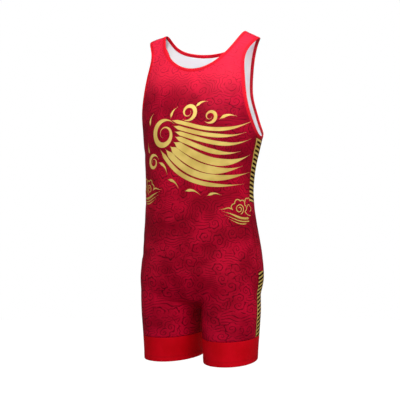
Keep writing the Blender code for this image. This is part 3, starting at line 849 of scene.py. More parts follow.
def belongs(piece, slot, *nodes):
    """The piece rides on the suit's one body and stands for the nodes it replaces; the slot is not used."""
    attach(piece, "root")
    if nodes:
        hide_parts(*nodes)
    return piece


# Points on each half-round edge of a flat section.
ROUND_POINTS = 5


def rolled_profile(width, radius, flat_points):
    """A flat section with half-round edges, once round: places across, and heights from -1 to 1."""
    turn = np.linspace(-np.pi / 2, np.pi / 2, ROUND_POINTS)
    flat = np.linspace(width - radius, radius, flat_points)[1:-1]
    across = [width - radius * (1 - np.cos(turn)), flat, radius * (1 - np.cos(turn)), flat[::-1]]
    height = [np.sin(turn), np.ones(len(flat)), -np.sin(turn), -np.ones(len(flat))]
    return np.concatenate(across), np.concatenate(height)


def bell(places, centre, width):
    """A bell of height 1 round a centre: the natural power of minus the squared distance in widths."""
    return np.exp(-(((places - centre) / width) ** 2))


def facing_whole(points, faces):
    """Faces of a closed mesh, all turned over if its volume comes out negative."""
    a, b, c, d = np.moveaxis(points[faces], 1, 0)
    volume = (a * np.cross(b, c)).sum() + (a * np.cross(c, d)).sum()
    return faces if volume > 0 else faces[:, ::-1]


def carried_section(name, base, heights, across, run):
    """A closed section carried round an opening, and the length of its lap.

    Base points on the figure are moved out by each point's height. Their places on the cut are the running
    length round the opening and the way across it.
    """
    points = dressed(base, heights)
    numbers = np.arange(points[..., 0].size).reshape(points.shape[:2])
    numbers = np.concatenate([numbers, numbers[:1]])
    numbers = np.concatenate([numbers, numbers[:, :1]], axis=1)
    points = points.reshape(-1, 3)
    faces = facing_whole(points, grid_faces(numbers))
    lap = float(run[-1] + run[1])
    places = np.stack(np.broadcast_arrays(run[None, :], across[:, None]), axis=-1)
    return new_mesh(name, points, faces, places.reshape(-1, 2), lap), lap


# Filled in as the pieces are made: what is sewn or printed on each sheet.
CARRIED = {}


# The folded tape: how far it laps over the cloth, and how its stitching draws it in.
TAPE_STATIONS = 400
TAPE_LAP = 0.0006
TAPE_FLAT_POINTS = 9
STITCH_LINE = 0.0070
STITCH_SINK = 0.00030
STITCH_BELL = 0.0009


def binding(name, hole, node):
    """A folded tape: a flat round-edged section carried round an opening, drawn in along its stitches."""
    stations = np.round(np.linspace(0, LINE_POINTS, TAPE_STATIONS + 1)[:-1]).astype(int)
    width = TAPE_WIDTH + TAPE_LAP
    across, height = rolled_profile(width, TAPE_CLOTH / 2, TAPE_FLAT_POINTS)
    base = settled(beside_edge(hole, across[:, None, None])[:, stations], rounds=FINE_STEPS)
    lift = height * (TAPE_CLOTH / 2 - STITCH_SINK * bell(across, STITCH_LINE, STITCH_BELL))
    run = lengths_along(hole["edge"])[stations]
    piece, lap = carried_section(name, base, lift[:, None], across, run)
    return belongs(piece, "binding", node)


# The leg band: its hem is folded up inside and held by two rows of stitches.
BAND_STATIONS = 240
BAND_FLAT_POINTS = 30
HEM_FOLD = 0.0150
HEM_STEP = 0.0010
HEM_STITCHES = (0.0115, 0.0140)
HEM_HALF = 0.00125


def leg_ring(side, above_hem, stations):
    """Points round a leg at heights above the hem: its oval on the hem's tilted plane, laid on the figure."""
    turn = np.linspace(0, 2 * np.pi, stations + 1)[:-1]
    height = HEM_HEIGHT + np.asarray(above_hem)[:, None]
    centre_x, centre_y = leg_centre(height, side)
    across = LEG_AT["half_breadth"](height) * np.cos(turn)
    along = LEG_AT["half_depth"](height) * np.sin(turn)
    lean = side * LEG_TURN
    x = centre_x + across * np.cos(lean) - along * np.sin(lean)
    y = centre_y + along * np.cos(lean) + across * np.sin(lean)
    z = height + np.tan(HEM_TILT) * (y - centre_y)
    return settled(np.stack([x, y, z], axis=-1), HEM_PLANE)


def leg_band(name, side, node):
    """A leg band: thicker up to the edge of its fold, with a shallow groove under each row of stitches."""
    width = BAND_HEIGHT - SEAM_GAP / 2
    across, height = rolled_profile(width, HEM_HALF, BAND_FLAT_POINTS)
    folded = np.clip((HEM_FOLD - across) / HEM_STEP, 0, 1)
    half = BAND_CLOTH / 2 + (HEM_HALF - BAND_CLOTH / 2) * folded
    grooves = sum(STITCH_SINK * bell(across, row, STITCH_BELL) for row in HEM_STITCHES)
    base = leg_ring(side, across, BAND_STATIONS)
    lift = height * (half - grooves)
    piece, lap = carried_section(name, base, lift[:, None], across, lengths_along(base[0]))
    return belongs(piece, "band_cloth", node)


def body_panel(name, node, facing):
    """The front or the back: a fine sheet on the figure, moved out to its creases and made thick."""
    points, faces, edges = whole_panel(facing)
    piece = new_mesh(name, dressed(points), faces, ground_place(points, facing))
    thicken(piece, BODY_CLOTH, inside=1)
    return belongs(piece, "body_cloth", node), edges


# Stitches are short spindles of thread, six-sided and thin at both ends: each ring's place and size.
SPINDLE_SIDES = 6
SPINDLE_RINGS = table(
    "along size",
    (-0.50, 0.15),
    (-0.30, 0.85),
    (0.00, 1.00),
    (0.30, 0.85),
    (0.50, 0.15),
)


def stitches(name, centres, ways, length, radius, carrier):
    """Spindles at the centres: rings of a six-sided circle strung along each way, each end two faces."""
    ways = ways / np.linalg.norm(ways, axis=-1, keepdims=True)
    up = outward(centres)
    aside = np.cross(ways, up)
    turn = np.arange(SPINDLE_SIDES) * 2 * np.pi / SPINDLE_SIDES
    along, size = SPINDLE_RINGS.values()
    ring = aside[:, None] * np.cos(turn)[:, None] + up[:, None] * np.sin(turn)[:, None]
    points = centres[:, None, None] + ways[:, None, None] * (along * length)[:, None, None]
    points = points + ring[:, None] * (size * radius)[:, None, None]
    one = np.arange(len(along) * SPINDLE_SIDES).reshape(len(along), -1)
    one = np.concatenate([one, one[:, :1]], axis=1)
    walls = grid_faces(one)[:, ::-1]
    steps = np.arange(len(centres))[:, None, None] * len(along) * SPINDLE_SIDES
    first, last = one[0, :SPINDLE_SIDES], one[-1, :SPINDLE_SIDES]
    halves = np.stack([first[[0, 1, 2, 3]], first[[0, 3, 4, 5]], last[[3, 2, 1, 0]], last[[5, 4, 3, 0]]])
    faces = (np.concatenate([walls, halves[:, ::-1]]) + steps).reshape(-1, 4)
    points = points.reshape(-1, 3)
    faces = facing_whole(points, faces)
    piece = new_mesh(name, points, faces, points[:, [0, 2]])
    piece.data.materials.append(THREAD)
    belongs(piece, "binding" if carrier.endswith("tape") else "body_cloth")
    CARRIED.setdefault(carrier, []).append(piece)


# The way at a stitch is read off over this share of a pitch on each side of it.
WAY_SHARE = 0.2


def evenly(line, pitch, closed=False):
    """Points a pitch apart along a line, with the ways the line goes there."""
    if closed:
        line = np.concatenate([line, line[:1]])
    run = lengths_along(line)
    count = max(int(round(run[-1] / pitch)), 2)
    portions = (np.arange(count) + 0.5) / count
    ahead, behind = np.minimum(portions + WAY_SHARE / count, 1), portions - WAY_SHARE / count
    return at_shares(line, portions), at_shares(line, ahead) - at_shares(line, behind)


def lifted(centres, height):
    """Stitch centres laid on the figure and raised over its creases."""
    return dressed(settled(centres, rounds=FINE_STEPS), height)


# Running stitches: their middle stands over the groove's floor by a share of the thread's radius.
RUN_PITCH = 0.0032
RUN_LENGTH = 0.0026
RUN_RADIUS = 0.00028
RUN_RISE = 0.4


def tape_stitches(name, hole, carrier):
    """A row of stitches in the groove near the tape's inner edge."""
    centres, ways = evenly(beside_edge(hole, STITCH_LINE), RUN_PITCH, closed=True)
    centres = lifted(centres, TAPE_CLOTH / 2 - STITCH_SINK + RUN_RADIUS * RUN_RISE)
    stitches(name, centres, ways, RUN_LENGTH, RUN_RADIUS, carrier)


def hem_stitches(name, side, carrier):
    """Two rows of stitches round a leg, where the fold of the hem ends."""
    rows = [evenly(line, RUN_PITCH, closed=True) for line in leg_ring(side, HEM_STITCHES, BAND_STATIONS)]
    centres, ways = (np.concatenate(parts) for parts in zip(*rows))
    centres = dressed(centres, HEM_HALF - STITCH_SINK + RUN_RADIUS * RUN_RISE)
    stitches(name, centres, ways, RUN_LENGTH, RUN_RADIUS, carrier)


# Flat seams: the pitch of their threads, the seam's width, the threads' slant, and how high they stand.
FLAT_SEAM_PITCH = 0.0017
FLAT_SEAM_WIDTH = 0.0050
FLAT_SEAM_SLANT = 0.35
FLAT_SEAM_RISE = 0.5


def flat_seam(name, line, carrier):
    """A flat seam: threads that cross the join a little aslant, close together."""
    centres, ways = evenly(line, FLAT_SEAM_PITCH)
    centres = lifted(centres, BODY_CLOTH / 2 + RUN_RADIUS * FLAT_SEAM_RISE)
    ways /= np.linalg.norm(ways, axis=-1, keepdims=True)
    crossing = np.cross(ways, outward(centres)) + FLAT_SEAM_SLANT * ways
    stitches(name, centres, crossing, FLAT_SEAM_WIDTH, RUN_RADIUS, carrier)


# Printed films: their thickness, how high the lowest one's top lies, and the step from a layer to the next.
FILM = 0.0003
FILM_LIFT = BODY_CLOTH / 2 + 0.00018
LAYER_STEP = 0.00006

# Drawn lines: the width of a plain one and of a fine one, and of any line's finest tip.
LINE_INK = 0.0024
FINE_INK = 0.0020
FINEST_TIP = 0.0003

# How a line tapers: the shares of its length over which it widens from its start and narrows to its end.
BLUNT = (0.04, 0.04)
STREAMER_TAPER = (0.10, 0.42)
SLIT_TAPER = (0.50, 0.50)
SCROLL_TAPER = (0.30, 0.55)
DROP_TAPER = (0.30, 0.90)

# Points on the lines that are drawn.
CURVE_POINTS = 60
SPIRAL_POINTS = 90
LOBE_POINTS = 24
STREAMER_POINTS = 90
SLIT_POINTS = 70
DROP_POINTS = 24


def through(*knots):
    """A smooth line on the cut through a few places."""
    knots = np.array(knots, float)
    run = lengths_along(knots)
    return spline(run, knots)(np.linspace(0, run[-1], CURVE_POINTS))


def spiral(centre, outer, inner, start, turns):
    """A scroll: its radius shrinks evenly from outer to inner as it turns, from a start angle in degrees."""
    t = np.linspace(0, 1, SPIRAL_POINTS)
    angle = np.radians(start) + 2 * np.pi * turns * t
    radius = outer + (inner - outer) * t
    return np.array(centre) + radius[:, None] * np.stack([np.cos(angle), np.sin(angle)], axis=-1)


def lobes(centre, radius, start, end, count, depth):
    """The scalloped edge of a cloud: an arc whose radius swells once for each lobe, as a sine's bare size."""
    t = np.linspace(0, 1, LOBE_POINTS * count)
    angle = np.radians(start + (end - start) * t)
    reach = radius + depth * np.abs(np.sin(np.pi * count * t))
    return np.array(centre) + reach[:, None] * np.stack([np.cos(angle), np.sin(angle)], axis=-1)


def ribbon(line, width, taper=BLUNT):
    """A flat ribbon along a line on the cut, as a grid three points wide that narrows softly to its ends."""
    run = lengths_along(line)
    share = run / run[-1]
    swelling = smooth_share(share, 0, taper[0]) * smooth_share(1 - share, 0, taper[1])
    half = np.maximum(width * swelling, FINEST_TIP) / 2
    way = np.gradient(line, axis=0)
    way /= np.linalg.norm(way, axis=1, keepdims=True)
    beside = np.stack([-way[:, 1], way[:, 0]], axis=-1) * half[:, None]
    return np.stack([line - beside, line, line + beside], axis=1)


def between(upper, lower, share):
    """A line part of the way from one line to another, point by point."""
    return upper + (lower - upper) * np.asarray(share)[..., None]


def fitted(values, ends):
    """Values moved and scaled to run from the first end to the last."""
    return ends[0] + (values - values[0]) * (ends[1] - ends[0]) / (values[-1] - values[0])


def film(name, grids, facing, layer, material, carrier):
    """Printed grids as one thin film on a face of the suit, each a little over the one before."""
    points, places, faces, total = [], [], [], 0
    for number, grid in enumerate(grids):
        lift = FILM_LIFT + LAYER_STEP * (layer + number / len(grids))
        points.append(on_cloth(grid, facing, lift).reshape(-1, 3))
        places.append(grid.reshape(-1, 2))
        faces.append(grid_faces(np.arange(grid[..., 0].size).reshape(grid.shape[:2])) + total)
        total += len(places[-1])
    points, places, faces = map(np.concatenate, (points, places, faces))
    inwards = pointing_out(points, faces) < 0
    faces[inwards] = faces[inwards, ::-1]
    piece = new_mesh(name, points, faces, places)
    piece.data.shade_flat()
    piece.data.materials.append(material)
    thicken(piece, FILM, offset=-1.0)
    belongs(piece, "body_cloth")
    CARRIED.setdefault(carrier, []).append(piece)


# The bold gold design over the belly: a sheaf of streamers between two lines, four scrolls and a few drops.
# The streamers start on a hollow curve and swing a little, and red slits part them where they are close.
SHEAF_FRONT = 0.13
SHEAF_SWING = 0.025
SLIT_WIDTH = 0.0024
SLIT_SETBACK = 0.03
SLIT_END = 0.62
SLITS = (0.065, 0.195, 0.33, 0.475, 0.625, 0.775, 0.925)
SHEAF_UPPER = through((-0.036, -0.226), (0.020, -0.236), (0.076, -0.250), (0.136, -0.250), (0.190, -0.226))
SHEAF_LOWER = through((-0.066, -0.302), (-0.016, -0.350), (0.044, -0.384), (0.110, -0.398), (0.190, -0.388))
STREAMERS = table(
    "place end width",
    (0.00, 1.00, 0.0095),
    (0.13, 0.90, 0.0100),
    (0.26, 0.98, 0.0105),
    (0.40, 0.86, 0.0120),
    (0.55, 0.99, 0.0190),
    (0.70, 0.90, 0.0200),
    (0.85, 1.00, 0.0160),
    (1.00, 0.93, 0.0110),
)
SCROLLS = table(
    "across up outer inner start turns width",
    (-0.056, -0.262, 0.0400, 0.0090, 40, 1.60, 0.0145),
    (0.012, -0.206, 0.0230, 0.0060, 230, 1.45, 0.0100),
    (-0.092, -0.334, 0.0210, 0.0055, 20, 1.50, 0.0090),
    (0.072, -0.218, 0.0180, 0.0050, 220, 1.35, 0.0080),
)
DROPS = table(
    "across up length width slant",
    (0.118, -0.222, 0.044, 0.0085, 10),
    (0.046, -0.186, 0.034, 0.0075, 24),
    (-0.030, -0.206, 0.034, 0.0075, 60),
    (-0.106, -0.222, 0.034, 0.0070, 70),
    (-0.116, -0.296, 0.030, 0.0065, 110),
    (-0.056, -0.350, 0.044, 0.0085, -46),
    (-0.022, -0.390, 0.040, 0.0080, -34),
    (0.034, -0.414, 0.044, 0.0080, -14),
    (0.090, -0.420, 0.036, 0.0070, 2),
)
DROP_BEND = 0.16


def sheaf_line(place, setback, end, count):
    """A line at a share of the way between the sheaf's two lines, which swings to and fro by a sine."""
    t = np.linspace(SHEAF_FRONT * np.sin(np.pi * place) + setback, end, count)
    swing = place + SHEAF_SWING * np.sin(2 * np.pi * (t + place))
    return between(at_shares(SHEAF_UPPER, t), at_shares(SHEAF_LOWER, t), swing)


def streamers():
    """The gold streamers, blunt at the front and long drawn at the back."""
    grids = []
    for place, end, width in rows_of(STREAMERS):
        grids.append(ribbon(sheaf_line(place, 0.0, end, STREAMER_POINTS), width, STREAMER_TAPER))
    return grids


def slits():
    """Narrow lines of the ground's red that part the streamers where they lie close."""
    lines = [sheaf_line(place, SLIT_SETBACK, SLIT_END, SLIT_POINTS) for place in SLITS]
    return [ribbon(line, SLIT_WIDTH, SLIT_TAPER) for line in lines]


def scrolls():
    """Each scroll is a spiral ribbon, widest a little way in."""
    grids = []
    for across, up, outer, inner, start, turns, width in rows_of(SCROLLS):
        line = spiral((across, up), outer, inner, start, turns)
        grids.append(ribbon(line, width, SCROLL_TAPER))
    return grids


def drops():
    """Each drop is a short ribbon bent by a cosine, blunt at one end and long drawn at the other."""
    grids = []
    for across, up, length, width, slant in rows_of(DROPS):
        t = np.linspace(-0.5, 0.5, DROP_POINTS)
        bend = DROP_BEND * length * np.cos(np.pi * t)
        turn = np.radians(slant)
        along = np.stack([np.cos(turn), np.sin(turn)]) * (t * length)[:, None]
        aside = np.stack([-np.sin(turn), np.cos(turn)]) * bend[:, None]
        grids.append(ribbon(np.array([across, up]) + along + aside, width, DROP_TAPER))
    return grids


# The outline clouds at the wearer's left hip and right waist, each drawn about its own middle.
CLOUDS = {"left": (1, (0.156, -0.454)), "right": (-1, (0.112, -0.404))}
CLOUD_SCALE = 0.92
CLOUD_SCROLL = spiral((0.0, 0.0), 0.0150, 0.0030, -80, 1.65)
CLOUD_SCROLL_INK = 0.0022
CLOUD_FOOT = through((0.019, -0.008), (0.030, -0.017), (0.044, -0.019))

# A cloud's scalloped edges: middle, radius, first and last angle, the lobes' number and depth, and the line.
CLOUD_EDGES = (
    ((0.000, 0.002), 0.0200, 196, -30, 4, 0.0055, LINE_INK),
    ((0.031, 0.018), 0.0100, 170, 20, 2, 0.0035, LINE_INK),
    ((0.036, 0.000), 0.0085, 150, -60, 2, 0.0030, FINE_INK),
)

# A cloud's long flames: the places each goes through, its width and its tapers.
CLOUD_FLAMES = (
    (((0.034, -0.026), (0.004, -0.025), (-0.020, -0.016), (-0.050, -0.006)), 0.0058, (0.05, 0.60)),
    (((0.036, -0.034), (0.004, -0.034), (-0.020, -0.026), (-0.044, -0.016)), 0.0032, (0.05, 0.60)),
    (((0.024, -0.041), (0.002, -0.041), (-0.018, -0.034), (-0.034, -0.026)), 0.0028, (0.10, 0.60)),
    (((-0.022, -0.002), (-0.032, 0.003), (-0.042, 0.001), (-0.058, -0.001)), 0.0032, (0.20, 0.60)),
)


def cloud(side, middle):
    """An outline cloud: a scroll in a scalloped edge, two steps up to the side seam, and long flames."""
    lines = [ribbon(CLOUD_SCROLL, CLOUD_SCROLL_INK)]
    lines += [ribbon(lobes(*edge), ink) for *edge, ink in CLOUD_EDGES]
    lines += [ribbon(CLOUD_FOOT, FINE_INK)]
    lines += [ribbon(through(*knots), width, taper) for knots, width, taper in CLOUD_FLAMES]
    return [(middle + CLOUD_SCALE * grid) * np.array([side, 1]) for grid in lines]


# Ladder stripes behind each side seam: their ends, the rungs' pitch and rise towards the back, and the rail.
LADDERS = table(
    "low high pitch rise rail_low rail_high rail_width",
    (-0.437, -0.272, 0.0112, -0.20, -0.372, -0.272, 0.0050),
    (-0.784, -0.616, 0.0104, 0.20, -0.784, -0.650, 0.0030),
)
LADDER_WIDTH = 0.038
LADDER_EDGE = 0.0016
RUNG_SHARE = 0.46

# The rail narrows evenly after a short even stretch, down to a least share of its width.
RAIL_SLOPE = 1.15
RAIL_LEAST = 0.08

# Points across and up the ladders' dark strips, cells along a rung, and points up a rail.
STRIP_POINTS = (8, 40)
RUNG_CELLS = 6
RAIL_POINTS = 24


def seam_across(side):
    """How far across the back's cut its side seam lies, as a function of height, for one side."""
    edge = cut_place(EDGES[1]["side"][side], 1)
    order = np.argsort(edge[:, 1])
    return lambda height: np.interp(height, edge[order, 1], edge[order, 0])


def ladder_grid(side, inwards, height):
    """Places on the back's cut, at distances inwards of the side seam and at heights."""
    across = seam_across(side)(height) - side * (LADDER_EDGE + inwards)
    return np.stack(np.broadcast_arrays(across, height), axis=-1)


def rungs(side, low, high, pitch, rise):
    """The rungs of one ladder: slanting strips a pitch apart, cut off level at the ladder's ends."""
    grids = []
    inwards = np.linspace(0, LADDER_WIDTH, RUNG_CELLS + 1)[:, None]
    reach = abs(rise) * LADDER_WIDTH
    for base in np.arange(low - reach, high + reach, pitch):
        edges = base + rise * inwards + np.array([0, pitch * RUNG_SHARE])
        inside = np.flatnonzero((edges[:, 1] > low) & (edges[:, 0] < high))
        if len(inside) >= 2:
            rows = slice(inside[0], inside[-1] + 1)
            grids.append(ladder_grid(side, inwards[rows], np.clip(edges[rows], low, high)))
    return grids


def rail(side, low, high, width, ends):
    """The rail along the seam, whose width runs from its share at the first end to that at the last."""
    height = np.linspace(low, high, RAIL_POINTS)[:, None]
    thick = width * np.clip(RAIL_SLOPE * fitted(height, ends), RAIL_LEAST, 1)
    return ladder_grid(side, thick * np.array([0, 0.5, 1]), height)


def ladders(side):
    """Both ladders of one side, as the grids of their dark strips, and of their gold rungs and rails."""
    dark, gold = [], []
    for low, high, pitch, rise, rail_low, rail_high, rail_width in rows_of(LADDERS):
        columns, rows = STRIP_POINTS
        height = np.linspace(low, high, rows)
        dark.append(ladder_grid(side, np.linspace(0, LADDER_WIDTH, columns)[:, None], height))
        gold += rungs(side, low, high, pitch, rise)
        gold.append(rail(side, rail_low, rail_high, rail_width, (1, 0) if rise > 0 else (0, 1)))
    return dark, gold


class Shading:
    """Adds nodes to a node tree and joins them. A value is a number, a colour or another node's output."""

    def __init__(self, tree):
        self.tree = tree

    def feed(self, socket, value):
        """Joins an output to the socket, or sets the socket to a plain value."""
        if isinstance(value, bpy.types.NodeSocket):
            self.tree.links.new(value, socket)
        else:
            socket.default_value = value

    def add(self, kind, values=(), **settings):
        """A new shader node of a kind, with its settings and what feeds its sockets."""
        made = self.tree.nodes.new("ShaderNode" + kind)
        for name, value in settings.items():
            setattr(made, name, value)
        for key, value in dict(values).items():
            self.feed(made.inputs[key], value)
        return made

    def math(self, operation, *values, clamp=False):
        """Arithmetic on plain values."""
        return self.add("Math", enumerate(values), operation=operation, use_clamp=clamp).outputs[0]

    def vector(self, operation, *values):
        """Arithmetic on vectors."""
        return self.add("VectorMath", enumerate(values), operation=operation).outputs[0]

    def smooth(self, value, low, high):
        """From 0 to 1 as the value goes from low to high, softly at both ends."""
        values = {0: value, 1: low, 2: high, 3: 0.0, 4: 1.0}
        return self.add("MapRange", values, interpolation_type="SMOOTHSTEP").outputs[0]

    def mix(self, share, first, second):
        """A colour part of the way from the first to the second."""
        return self.add("Mix", {0: share, 6: first, 7: second}, data_type="RGBA").outputs[2]

    def noise(self, place, scale, detail=2.0, roughness=0.5):
        """Soft noise from 0 to 1."""
        values = {"Vector": place, "Scale": scale, "Detail": detail, "Roughness": roughness}
        return self.add("TexNoise", values, noise_dimensions="3D").outputs[0]


def node_group(name, inputs, outputs):
    """A new shader node group with named sockets, and the ends that its nodes join."""
    tree = bpy.data.node_groups.new(name, "ShaderNodeTree")
    for label, kind, value in inputs:
        socket = tree.interface.new_socket(label, in_out="INPUT", socket_type="NodeSocket" + kind)
        if kind == "Float":
            socket.default_value = value
    for label, kind in outputs:
        tree.interface.new_socket(label, in_out="OUTPUT", socket_type="NodeSocket" + kind)
    return tree, tree.nodes.new("NodeGroupInput").outputs, tree.nodes.new("NodeGroupOutput").inputs


# The ground's scrolls: cells to a metre, how far the net strays from even, and how noise bends the lines.
NET_RATE = 26.0
NET_STRAY = 0.85
BEND_RATE = 26.0
BEND_REACH = 0.014

# Lobes round a scroll, the lines by which each swells, and the radii between which the swell sets in.
SCROLL_LOBES = 3
LOBE_SWELL = -0.60
LOBE_RADII = (0.008, 0.018)

# Level lines between scrolls: the radii and the noise where they set in, and how noise waves them, in lines.
FLOW_RADII = (0.015, 0.019)
FLOW_RATE = 12.0
FLOW_SHARE = (0.48, 0.54)
WAVE_RATE = 20.0
WAVE_REACH = 5.0

# The fully dark share of a line's half width, where noise lets lines fade, and the ground's soft tones.
LINE_CORE = 0.55
FADE_RATE = 46.0
FADE_SHARE = (0.28, 0.50)
TONE_RATE = 15.0
TONE_DETAIL = 2.5
TONE_ROUGHNESS = 0.55
TONE_SHARE = (0.34, 0.68)

# The printed spacing of the lines and their half width.
SCROLL_SPACING = 0.0072
SCROLL_LINE = 0.00095


def lines_where(to, given, phase):
    """1 on a line and 0 off it: a line lies wherever the phase is halfway between whole numbers."""
    away = to.math("ABSOLUTE", to.math("SUBTRACT", to.math("FRACT", phase), 0.5))
    away = to.math("MULTIPLY", away, given["Spacing"])
    full = to.math("MULTIPLY", given["Line"], LINE_CORE)
    return to.math("SUBTRACT", 1.0, to.smooth(away, full, given["Line"]))


def scroll_ground_group():
    """Tone on tone scrolls: a spiral in each cell of a loose net, its line bent by noise, swelling in lobes.

    In a cell, the phase is the distance from its centre over the spacing, less the turn about it, either way
    round, and a line lies wherever the phase is halfway between whole numbers. Farther out it swells in
    lobes, as the scalloped edge of a cloud does. In soft patches between the scrolls the phase is the height
    over the spacing with noise added, so that the lines there run nearly level and wave.
    """
    inputs = (("Place", "Vector", None), ("Spacing", "Float", SCROLL_SPACING), ("Line", "Float", SCROLL_LINE))
    tree, given, results = node_group("scroll_ground", inputs, (("Lines", "Float"), ("Tone", "Float")))
    to = Shading(tree)
    place = given["Place"]
    bend = to.add("TexNoise", {"Vector": place, "Scale": BEND_RATE, "Detail": 1.0}).outputs["Color"]
    bend = to.vector("SCALE", to.vector("SUBTRACT", bend, (0.5, 0.5, 0.5)))
    bend.node.inputs["Scale"].default_value = BEND_REACH
    bent = to.vector("ADD", place, bend)
    values = {"Vector": bent, "Scale": NET_RATE, "Randomness": NET_STRAY}
    cells = to.add("TexVoronoi", values, voronoi_dimensions="2D", feature="F1")
    local = to.vector("SUBTRACT", bent, cells.outputs["Position"])
    split = to.add("SeparateXYZ", {0: local}).outputs
    chance = to.add("SeparateXYZ", {0: cells.outputs["Color"]}).outputs
    radius = to.add("VectorMath", {0: local}, operation="LENGTH").outputs["Value"]
    turn = to.math("DIVIDE", to.math("ARCTAN2", split[1], split[0]), 2 * np.pi)
    hand = to.math("SUBTRACT", to.math("MULTIPLY", to.math("GREATER_THAN", chance[0], 0.5), 2.0), 1.0)
    outer = to.smooth(radius, *LOBE_RADII)
    lobe_turn = to.math("MULTIPLY", turn, 2 * np.pi * SCROLL_LOBES)
    lobe = to.math("ABSOLUTE", to.math("SINE", to.math("ADD", lobe_turn, chance[2])))
    swell = to.math("MULTIPLY", to.math("MULTIPLY", lobe, outer), LOBE_SWELL)
    spin = to.math("MULTIPLY", hand, turn)
    scroll = to.math("ADD", to.math("SUBTRACT", to.math("DIVIDE", radius, given["Spacing"]), spin), swell)
    scroll_lines = lines_where(to, given, to.math("ADD", scroll, chance[1]))

    height = to.add("SeparateXYZ", {0: bent}).outputs[1]
    wave = to.math("MULTIPLY", to.noise(place, WAVE_RATE, 0.0), WAVE_REACH)
    flow = to.math("ADD", to.math("DIVIDE", height, given["Spacing"]), wave)
    flow_lines = lines_where(to, given, flow)

    patch = to.smooth(to.noise(place, FLOW_RATE, 0.0), *FLOW_SHARE)
    flowing = to.math("MULTIPLY", to.smooth(radius, *FLOW_RADII), patch)
    change = to.math("SUBTRACT", flow_lines, scroll_lines)
    line = to.math("ADD", scroll_lines, to.math("MULTIPLY", flowing, change))
    fading = to.smooth(to.noise(place, FADE_RATE), *FADE_SHARE)
    to.feed(results["Lines"], to.math("MULTIPLY", line, fading))
    tone = to.noise(place, TONE_RATE, TONE_DETAIL, TONE_ROUGHNESS)
    to.feed(results["Tone"], to.smooth(tone, *TONE_SHARE))
    return tree


# The knit: its usual pitch, courses to a rib, their height beside a rib's, the noise that breaks them up, and
# how strongly its relief shows.
KNIT_PITCH = 0.0009
COURSE_RATE = 1.3
COURSE_SHARE = 0.6
FLECK_RATE = 900.0
FLECK_HEIGHT = 0.6
RELIEF_STRENGTH = 0.6


def knit_group():
    """Fine warp knit: courses and ribs as crossed sine waves, broken up by a little noise."""
    inputs = (("Place", "Vector", None), ("Pitch", "Float", KNIT_PITCH))
    tree, given, results = node_group("fine_knit", inputs, (("Height", "Float"), ("Fleck", "Float")))
    to = Shading(tree)
    split = to.add("SeparateXYZ", {0: given["Place"]}).outputs
    rate = to.math("DIVIDE", 2 * np.pi, given["Pitch"])
    rib = to.math("SINE", to.math("MULTIPLY", split[0], rate))
    course = to.math("SINE", to.math("MULTIPLY", split[1], to.math("MULTIPLY", rate, COURSE_RATE)))
    weave = to.math("ADD", rib, to.math("MULTIPLY", course, COURSE_SHARE))
    fleck = to.noise(given["Place"], FLECK_RATE, 1.0)
    to.feed(results["Height"], to.math("ADD", weave, to.math("MULTIPLY", fleck, FLECK_HEIGHT)))
    to.feed(results["Fleck"], fleck)
    return tree


SCROLL_GROUND = scroll_ground_group()
KNIT = knit_group()


# A plain finish's soft patches between its two tones: their rate, where noise changes them, and the flecks.
PATCH_RATE = 20.0
PATCH_SHARE = (0.30, 0.70)
PATCH_FLECK = 0.35


class Finish(Shading):
    """A material with one Principled shader, read off the cut's own places."""

    def __init__(self, name, roughness, specular):
        self.material = bpy.data.materials.new(name)
        self.material.use_nodes = True
        super().__init__(self.material.node_tree)
        self.shader = self.tree.nodes["Principled BSDF"]
        self.place = self.add("UVMap", uv_map="cut").outputs[0]
        self.shader.inputs["Roughness"].default_value = roughness
        self.shader.inputs["Specular IOR Level"].default_value = specular

    def knit(self, pitch, depth):
        """Knit relief of a pitch and a depth; gives back its flecks."""
        knit = self.add("Group", node_tree=KNIT)
        self.feed(knit.inputs["Place"], self.place)
        knit.inputs["Pitch"].default_value = pitch
        self.relief(knit.outputs["Height"], depth)
        return knit.outputs["Fleck"]

    def relief(self, height, depth):
        """Feeds a height to the shader's normal."""
        bump = self.add("Bump", {"Height": height, "Distance": depth, "Strength": RELIEF_STRENGTH})
        self.feed(self.shader.inputs["Normal"], bump.outputs[0])

    def colour(self, value):
        """Feeds the shader's colour, and gives back the finished material."""
        self.feed(self.shader.inputs["Base Color"], value)
        return self.material

    def varied(self, low, high, fleck):
        """Soft patches between two colours, with a trace of the knit's own flecks."""
        patches = self.smooth(self.noise(self.place, PATCH_RATE), *PATCH_SHARE)
        share = self.math("ADD", patches, self.math("MULTIPLY", fleck, PATCH_FLECK), clamp=True)
        return self.colour(self.mix(share, (*low, 1), (*high, 1)))


# Colours, in linear red, green and blue. Most finishes vary between a low and a high tone.
GROUND_RED = (0.365, 0.0008, 0.016)
BRIGHT_RED = (0.655, 0.0028, 0.034)
# The chest's paler, pinker red is a painted highlight. The lines' dark red below it also paints the shade up
# the ribs.
CHEST_HIGHLIGHT_RED = (0.700, 0.0180, 0.050)
LINE_AND_SHADE_RED = (0.090, 0.0006, 0.008)
TAPE_LOW, TAPE_HIGH = (0.56, 0.003, 0.013), (0.68, 0.005, 0.019)
BAND_LOW, BAND_HIGH = (0.66, 0.0006, 0.006), (0.78, 0.001, 0.011)
LINING_LOW, LINING_HIGH = (0.90, 0.89, 0.94), (0.95, 0.94, 0.97)
GOLD_LOW, GOLD_HIGH = (0.68, 0.46, 0.095), (0.86, 0.64, 0.170)
NIGHT_LOW, NIGHT_HIGH = (0.020, 0.001, 0.002), (0.048, 0.001, 0.003)
THREAD_LOW, THREAD_HIGH = (0.30, 0.002, 0.008), (0.44, 0.004, 0.012)
SLIT_LOW, SLIT_HIGH = (0.25, 0.002, 0.008), (0.34, 0.002, 0.012)

# A painted highlight pales the red up the chest, and painted shade deepens it up the ribs, each between two
# heights and by a share.
CHEST_HIGHLIGHT_HEIGHTS = (-0.180, -0.095)
CHEST_HIGHLIGHT_SHARE = 0.75
RIB_SHADE_HEIGHTS = (-0.400, -0.300)
RIB_SHADE_SHARE = 0.36

